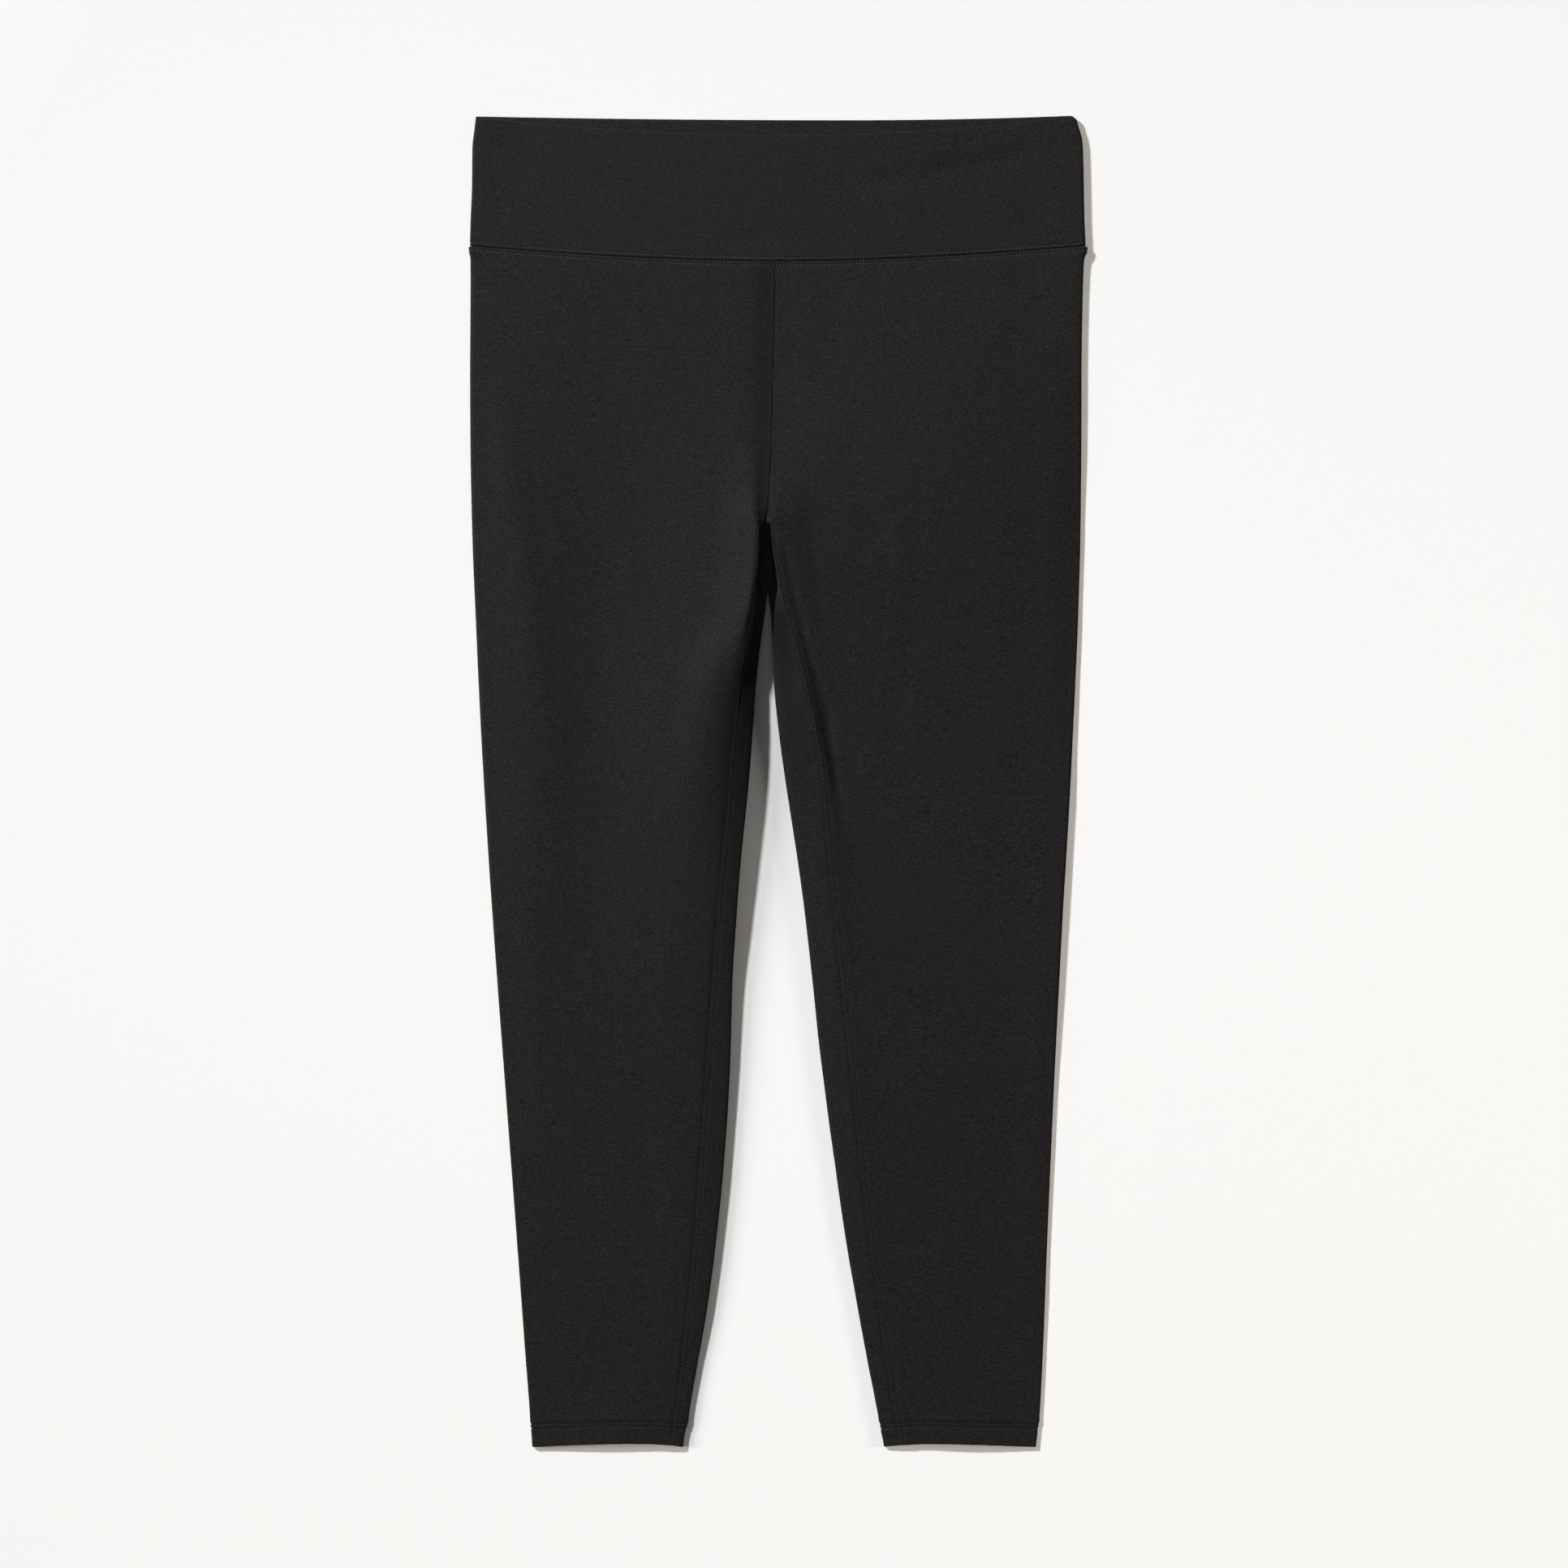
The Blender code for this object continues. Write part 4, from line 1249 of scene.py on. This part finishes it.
    def section(self, drop: float) -> Array:
        """The outer skin at a drop: up the inner wall, over the front, round the side fold and back beneath.

        Args:
            drop: Where the leg is cut.

        Returns:
            The section's points as (width, height).
        """
        fold = cell(self.side, "height", drop) / 2
        flat = cell(self.side, "out", drop) - fold
        wall = self.wall(drop)
        turn = math.pi * (0.5 - np.arange(self.fold_steps) / self.fold_steps)
        side = np.stack([flat + fold * np.cos(turn), fold + fold * np.sin(turn)], axis=1)
        if drop < FORK_DROP:
            end, end_h = self.sign * cell(CENTRE_BACK, "x", drop) + SEAM_GAP / 2, 0.0
        else:
            end, end_h = wall[0]
        tuck = max(end_h, self.tuck_height)
        along = np.arange(self.back_steps) / self.back_steps
        back = np.stack([flat + (end + tuck - flat) * along, np.zeros(self.back_steps)], axis=1)
        turn = math.pi / 2 * np.arange(self.tuck_steps + 1) / self.tuck_steps
        rise = np.stack([end + tuck * (1 - np.sin(turn)), end_h * (1 - np.cos(turn))], axis=1)
        return np.concatenate([wall, self.front(drop, flat), side, back, rise])

    def grid(self) -> Array:
        """The leg's smooth outer skin: a row of points for each drop."""
        rows = []
        for drop in self.drops:
            seat = settle(drop - SEAM_DROP_SIDE, SEAT_FADE_DROP - SEAM_DROP_SIDE)
            hem = self.hem_rise * settle(LENGTH - drop, HEM_LIFT_REACH)
            inner, out = cell(self.thigh, "edge", drop), cell(self.side, "out", drop)
            width, height = self.section(drop).T
            x = self.sign * width
            sag = (seam_drop(x) - SEAM_DROP_SIDE) * seat
            arch = np.clip((width - inner) / (out - inner), 0.0, 1.0) ** HEM_ARCH_POWER
            rise = hem * np.sin(math.pi * arch)
            rows.append(np.stack([x, LENGTH / 2 - drop - sag + rise, height], axis=1))
        return np.array(rows)

    def front_share(self) -> Array:
        """For each column, 1 on the upper face and 0 underneath, changing over in the side fold."""
        columns = np.arange(self.fold_at + self.fold_steps + self.back_steps + self.tuck_steps + 1)
        turn_at = self.fold_at + self.fold_steps * FACE_TURN
        return np.clip((turn_at - columns) / (self.fold_steps * FACE_TURN_SPAN), 0.0, 1.0)

    def inseam_reach(self) -> Array:
        """How far round each row the inseam lies: at the wall's upper edge, or lower where it is tucked."""
        tuck = self.seam_tuck * settle(np.maximum(self.drops - CROTCH_DROP - TUCK_FROM, 0.0), TUCK_REACH)
        return self.reach[:, self.wall_steps] - tuck

    def relief(self, grid: Array) -> Array:
        """Height of the seams, hems and puckers on the outer skin."""
        drops = np.repeat(self.drops[:, None], grid.shape[1], axis=1)
        front = self.front_share()
        below = drops > CROTCH_DROP + 1.0
        from_inseam = np.abs(self.reach - self.inseam_reach()[:, None])
        from_back = self.reach[:, -1:] - self.reach
        from_waist, from_hem = drops - SEAM_DROP_SIDE, LENGTH - drops
        total = self.seam.heights(from_inseam, drops, self.seed) * below * front
        total += self.centre.heights(self.reach, drops, CENTRE_SEED) * ~below
        total += self.seam.heights(from_back, drops, BACK_SEED) * (drops < FORK_DROP) * (1 - front)
        total += self.waist.heights(from_waist, self.reach, self.seed + 3.0) * (from_waist < WAIST_REACH)
        total += self.hem.heights(from_hem, self.reach, self.seed + 5.0)
        total += self.bulk * dip(from_inseam, self.bulk_width) * settle(from_hem, self.bulk_reach) * front
        return np.where(grid[..., 2] < TOUCHING, np.minimum(total, 0.0), total)

    def form(self, grid: Array) -> Array:
        """Height of the creases, on both skins."""
        x, drop = grid[..., 0], LENGTH / 2 - grid[..., 1]
        front = self.front_share()
        upper = crease_heights(self.creases, x, drop) + swell(x, drop, SWELLS, self.seed)
        under = np.minimum(crease_heights(self.back_creases, x, drop) - BACK_SINK, 0.0)
        from_edge = np.minimum(self.reach, self.reach[:, -1:] - self.reach)
        under *= settle(BACK_EDGE - from_edge, BACK_EDGE)
        return upper * front + under * (1 - front) * (grid[..., 2] < TOUCHING)

    def nap(self) -> Array:
        """The painted shading at each point: painted shade by the inner edge, and painted light by the side
        fold.
        """
        depth, span = (column(self.painted_shading, name, self.drops)[:, None] for name in ("depth", "span"))
        held = PAINTED_SHADE_HOLD * span
        dark = depth * settle(np.maximum(self.reach - held, 0.0), span - held)
        from_side = np.maximum(self.reach[:, self.fold_at, None] - self.reach, 0.0)
        light = self.side_painted_light * settle(from_side, PAINTED_LIGHT_REACH)
        return 1.0 - dark * self.front_share() + light * self.front_share()

    def cloth(self, material: bpy.types.Material) -> bpy.types.Object:
        """Builds the sheet of cloth in the given material."""
        grid = self.grid()
        self.reach = reach_along(grid)
        closed_from = int(np.argmin(np.abs(self.drops - FORK_DROP)))
        self.shell = Shell(f"{self.node}_cloth", grid, CLOTH, closed_from, self.sign, round_last=True)
        self.shell.shape(self.form(grid), self.relief(grid))
        # painted shade and painted light, which darken and brighten the colour through a point attribute
        self.shell.painted_shading = self.nap()
        return self.shell.build(material)

    def seam_line(self, first: float, last: float, away: float, centre: bool) -> Line:
        """A line down the leg beside its inseam or its centre seam.

        Args:
            first: Drop where it starts.
            last: Drop where it ends.
            away: Distance from the seam, over 0 towards the side.
            centre: Whether it follows the centre seam.

        Returns:
            The line's points and normals.
        """
        rows = np.flatnonzero((self.drops >= first) & (self.drops <= last))
        starts = np.zeros(len(self.drops)) if centre else self.inseam_reach()
        numbers = np.arange(self.reach.shape[1])
        columns = [np.interp(starts[row] + away, self.reach[row], numbers) for row in rows]
        return self.shell.trace(rows.astype(float), np.array(columns))

    def cross_line(self, drop: float) -> Line:
        """A line over the front of the leg at a drop, to halfway round the side fold."""
        columns = np.arange(self.fold_at + self.fold_steps // 2 + 1, dtype=float)
        row = float(np.interp(drop, self.drops, np.arange(len(self.drops))))
        return self.shell.trace(np.full(len(columns), row), columns)

    def stitches(self, thread: Threads) -> list[bpy.types.Object]:
        """Builds the leg's rows of stitches in the given threads."""
        waist_row = SEAM_DROP_SIDE + self.waist.row_at
        waist = [self.cross_line(waist_row)]
        centre = [self.seam_line(waist_row + 1.0, CROTCH_DROP, self.centre.row_at, True)]
        tack = [self.seam_line(TACK_TOP + 2.0 * off, CROTCH_DROP, off, True) for off in TACK_ROWS]
        offs = (0.0, -self.seam.row_at, self.seam.row_at)
        loops, right, left = (self.seam_line(INSEAM_FROM, INSEAM_TO, off, False) for off in offs)
        hem = [self.cross_line(LENGTH - row) for row in self.hem.rows]
        slanted = Stitch(length=1.35, width=0.55, lean=SLANT * self.sign)
        looped = Stitch(pitch=2.3, length=1.1, width=0.7, lean=-SLANT)
        plans = (
            ("waist_stitches", WAIST_STITCH, 11, waist, thread.pale),
            ("centre_stitches", slanted, 23, centre, thread.middle),
            ("crotch_stitches", Stitch(length=1.7, width=0.32), 29, tack, thread.middle),
            ("inseam_loops", looped, 43, [loops], thread.middle),
            ("inseam_stitches", Stitch(length=1.25, lean=SLANT), 37, [right, left], thread.dark),
            ("hem_stitches", Stitch(height=0.3), 41, hem, thread.dark),
        )
        return [
            StitchRows(f"{self.node}_{name}", stitch, seed).build(lines, material)
            for name, stitch, seed, lines, material in plans
        ]


@dataclass(kw_only=True)
class Waistband(Panel):
    """One half of the doubled waistband, from side fold to side fold."""

    face: Face
    edge: TopEdge
    seed: float
    sides: tuple[BandSide, ...] = BAND_SIDES
    fold_steps: int = 12
    across_steps: int = 208
    seam: SeamRelief = SeamRelief(row_at=2.15, puff_at=1.0, puff=0.12, ditch=0.7)
    seam_from: float = 4.0
    seam_reach: float = 6.0
    swell_to: float = 200.0
    swell_fade: float = 10.0

    def section(self, right: float, left: float) -> Array:
        """The outer face across the garment, from the seam in the right side fold to the one in the left.

        Args:
            right: How far out the right side fold lies.
            left: How far out the left one lies.

        Returns:
            The section's points as (x, height).
        """
        middle, up = BAND_EDGE_HEIGHT / 2, self.face.value
        bend = middle - SEAM_GAP / 2 - BAND_UPRIGHT
        turn = math.pi / 2 * np.arange(self.fold_steps) / self.fold_steps
        inward = np.concatenate([[0.0], bend - bend * np.cos(turn)])
        rise = np.concatenate([[SEAM_GAP / 2], SEAM_GAP / 2 + BAND_UPRIGHT + bend * np.sin(turn)])
        x = bend - right + (right + left - 2 * bend) * np.arange(self.across_steps + 1) / self.across_steps
        near = np.minimum(x + right, left - x) - bend
        puff = BAND_FLAT + (BAND_EDGE_HEIGHT - BAND_FLAT) * settle(near, EDGE_FADE)
        flat = puff if self.face is Face.FRONT else np.zeros_like(x)
        xs = np.concatenate([inward - right, x, (left - inward)[::-1]])
        return np.stack([xs, np.concatenate([middle + up * rise, flat, (middle + up * rise)[::-1]])], axis=1)

    def grid(self) -> tuple[Array, Array]:
        """The smooth outer skin, a row of points for each line along the band, and the seam's distance."""
        rows, above = [], []
        for share in spans(BAND_ROWS):
            right, left = (cell(self.sides, name, SEAM_DROP_SIDE * share) for name in ("right", "left"))
            x, height = self.section(right, left).T
            from_lowest = x - self.edge.x
            end = np.where(from_lowest > 0, self.edge.left, self.edge.right)
            reach = np.where(from_lowest > 0, HALF_TOP - self.edge.x, HALF_TOP + self.edge.x)
            bend = np.minimum(np.abs(from_lowest) / reach, 1.0) ** TOP_CURVE_POWER
            top = self.edge.lowest + (end - self.edge.lowest) * bend + BAND_CLOTH / 2
            bottom = seam_drop(x) - SEAM_GAP / 2
            drop = top + (bottom - top) * share
            rows.append(np.stack([x, LENGTH / 2 - drop, height], axis=1))
            above.append(seam_drop(x) - drop)
        return np.array(rows), np.array(above)

    def cloth(self, material: bpy.types.Material) -> bpy.types.Object:
        """Builds the band's cloth in the given material."""
        grid, above = self.grid()
        x, drop = grid[..., 0], LENGTH / 2 - grid[..., 1]
        relief = self.seam.heights(above, x, self.seed) * settle(above - self.seam_from, self.seam_reach)
        if self.face is Face.FRONT:
            inside = settle(np.maximum(np.abs(x) - self.swell_to, 0.0), self.swell_fade)
            form = crease_heights(self.creases, x, drop) + swell(x, drop, BAND_SWELLS, BAND_SEED) * inside
        else:
            form, relief = np.zeros_like(x), np.minimum(relief, 0.0)
        name, outward = f"{self.node}_cloth", self.face.value
        self.shell = Shell(name, grid, BAND_CLOTH, len(grid), outward, round_first=True)
        self.shell.shape(form, relief)
        return self.shell.build(material)

    def stitches(self, thread: Threads) -> list[bpy.types.Object]:
        """Builds the row of stitches above the waist seam in the given threads."""
        if self.face is Face.BACK:
            return []
        _, above = self.grid()
        columns = np.arange(2, above.shape[1] - 2)
        numbers = np.arange(len(above))[::-1]
        rows = np.array([np.interp(self.seam.row_at, above[::-1, c], numbers) for c in columns])
        made = StitchRows(f"{self.node}_waist_stitches", WAIST_STITCH, 5)
        return [made.build([self.shell.trace(rows, columns.astype(float))], thread.pale)]


def gathered(name: str, things: Sequence[bpy.types.Object]) -> bpy.types.Collection:
    """A new collection of the given objects, apart from the scene's own."""
    made = bpy.data.collections.new(name)
    for thing in things:
        made.objects.link(thing)
    return made


@dataclass(frozen=True)
class Lamp:
    """A round soft light that faces the garment, placed by its direction from it in degrees."""

    name: str
    azimuth: float
    elevation: float
    distance: float
    size: float
    power: float
    tint: Colour = (1.0, 1.0, 1.0)

    def build(
        self, aim: Vector, lit: Sequence[bpy.types.Object] = (), blockers: Sequence[bpy.types.Object] = ()
    ) -> None:
        """Puts the light up.

        Args:
            aim: The place that it faces.
            lit: All that it lights, or nothing where it lights everything.
            blockers: All that throws its shadow, or nothing where everything does.
        """
        turn, rise = math.radians(self.azimuth), math.radians(self.elevation)
        away = Vector((math.cos(rise) * math.cos(turn), math.cos(rise) * math.sin(turn), math.sin(rise)))
        light = bpy.data.lights.new(self.name, "AREA")
        light.shape = "DISK"
        light.size = self.size
        light.energy = self.power
        light.color = self.tint
        lamp = new_object(self.name, light)
        lamp.location = aim + away * self.distance
        lamp.rotation_euler = away.to_track_quat("Z", "Y").to_euler()
        if lit:
            lamp.light_linking.receiver_collection = gathered(f"lit_by_{self.name}", lit)
        if blockers:
            lamp.light_linking.blocker_collection = gathered(f"blocks_{self.name}", blockers)


@dataclass(frozen=True)
class Studio:
    """The pale surface, the soft light and the camera straight above."""

    view_x: float = 0.00401
    view_y: float = -0.0021
    view_width: float = 1.08192
    camera_height: float = 3.0
    sensor: float = 36.0
    key: Lamp = Lamp("key", 141.0, 33.0, 4.6, 0.46, 337.0)
    top: Lamp = Lamp("top", 0.0, 90.0, 4.0, 4.0, 43.0, (1.0, 0.955, 0.87))
    side_fill: Lamp = Lamp("side_fill", 180.0, 20.0, 6.0, 1.9, 394.0, (1.0, 0.94, 0.84))
    far_fill: Lamp = Lamp("far_fill", 0.0, 15.0, 6.0, 1.2, 192.0, (1.0, 0.94, 0.84))
    ambient: float = 0.12
    ambient_tint: tuple[float, float, float, float] = (1.0, 0.955, 0.87, 1.0)
    surface_size: float = 15.0
    surface_z: float = -0.0001
    surface_shade: Colour = (0.6296, 0.6375, 0.6515)
    surface_rough: float = 0.9
    surface_shine: float = 0.1
    evening: Colour = (0.3132, -0.1957, 0.0)  # paler away from the key, along +x and -y
    evening_range: tuple[float, float] = (0.75, 1.28)

    def surface(self) -> bpy.types.Object:
        """The plain pale surface, a hair below the garment."""
        mesh = bpy.data.meshes.new("surface")
        build = bmesh.new()
        bmesh.ops.create_grid(build, x_segments=8, y_segments=8, size=self.surface_size)
        build.to_mesh(mesh)
        build.free()
        surface = new_object("surface", mesh)
        surface.location.z = self.surface_z
        material = bpy.data.materials.new("pale_surface")
        material.use_nodes = True
        nodes = Nodes(material.node_tree)
        place = nodes.add("ShaderNodeTexCoord").outputs["Object"]
        away = nodes.add("ShaderNodeVectorMath", {0: place, 1: self.evening}, operation="DOT_PRODUCT")
        gain, (low, high) = nodes.math("ADD", away.outputs["Value"], 1.0), self.evening_range
        even = nodes.add("ShaderNodeClamp", {"Value": gain, "Min": low, "Max": high}).outputs[0]
        shade = nodes.scaled(self.surface_shade, even)
        rough, shine = self.surface_rough, self.surface_shine
        values = {"Base Color": shade, "Roughness": rough, "Specular IOR Level": shine}
        nodes.fill(material.node_tree.nodes["Principled BSDF"], values)
        mesh.materials.append(material)
        return surface

    def lights(self, surface: bpy.types.Object, garment: dict[str, bpy.types.Object]) -> None:
        """A soft key from the upper left, a soft top light on the garment, and two fills on the surface.

        Args:
            surface: What the fills light.
            garment: The garment's objects by name, which the top light lights.
        """
        aim = Vector((self.view_x, self.view_y, 0.0))
        self.key.build(aim)
        self.top.build(aim, list(garment.values()))
        self.side_fill.build(aim, [surface], [garment["leg_right_cloth"]])
        self.far_fill.build(aim, [surface], [garment["leg_left_cloth"]])
        world = bpy.data.worlds.new("studio")
        world.use_nodes = True
        values = {"Color": self.ambient_tint, "Strength": self.ambient}
        Nodes(world.node_tree).fill(world.node_tree.nodes["Background"], values)
        bpy.context.scene.world = world

    def camera(self) -> None:
        """The camera, looking straight down with a long lens."""
        data = bpy.data.cameras.new("camera")
        data.sensor_width = self.sensor
        data.lens = self.sensor * self.camera_height / self.view_width
        data.clip_end = 50.0
        camera = new_object("camera", data)
        camera.location = (self.view_x, self.view_y, self.camera_height)
        bpy.context.scene.camera = camera
        bpy.context.scene.view_settings.view_transform = "Standard"


def main() -> None:
    """Builds the garment and the studio, and reports each piece."""
    logging.basicConfig(level=logging.INFO, format="%(message)s")
    effects = Effects()
    leg_knit = KnitFinish("leg_knit", (0.0097, 0.0086, 0.0093)).material(effects)
    band_knit = KnitFinish("waistband_knit", (0.0098, 0.00865, 0.0094), fineness=1160.0).material(effects)
    finishes = (
        ThreadFinish("grey_thread", (0.03, 0.0283, 0.0292)),
        ThreadFinish("slate_thread", (0.0175, 0.0162, 0.017), roughness=0.72, shine=0.12),
        ThreadFinish("charcoal_thread", (0.0042, 0.0038, 0.004), roughness=0.78, shine=0.08),
    )
    thread = Threads(*(finish.material(effects) for finish in finishes))
    studio = Studio()
    surface = studio.surface()
    leg_right = Leg(
        node="leg_right", flat=(0.432, 0.832), flat_area=0.288, sign=-1, side=RIGHT_SIDE, thigh=RIGHT_THIGH,
        folds=RIGHT_FOLDS, creases=RIGHT_CREASES, back_creases=RIGHT_BACK_CREASES, painted_shading=RIGHT_PAINTED_SHADE,
        hem_rise=2.6, seed=1.0, seam_tuck=9.0,
    )
    leg_left = Leg(
        node="leg_left", flat=(0.432, 0.832), flat_area=0.295, sign=1, side=LEFT_SIDE, thigh=LEFT_THIGH,
        folds=LEFT_FOLDS, creases=LEFT_CREASES, back_creases=LEFT_BACK_CREASES, painted_shading=LEFT_PAINTED_SHADE,
        # painted light on the front beside its side fold
        hem_rise=2.3, seed=31.0, side_painted_light=0.14,
    )
    back = Waistband(
        node="waistband_back", flat=(0.426, 0.1), flat_area=0.0402, face=Face.BACK,
        edge=TopEdge(3.3, 40.0, 0.9, 0.0), seed=19.0,
    )
    front = Waistband(
        node="waistband_front", flat=(0.426, 0.0995), flat_area=0.0373, rests_on=("waistband_back_cloth",),
        creases=BAND_CREASES, face=Face.FRONT, edge=TopEdge(13.6, 0.0, 2.0, 0.4), seed=17.0,
    )
    panels = ((leg_right, leg_knit), (leg_left, leg_knit), (back, band_knit), (front, band_knit))
    garment = {made.name: made for panel, knit in panels for made in panel.dress(knit, thread)}
    studio.lights(surface, garment)
    studio.camera()


if __name__ == "__main__":
    main()
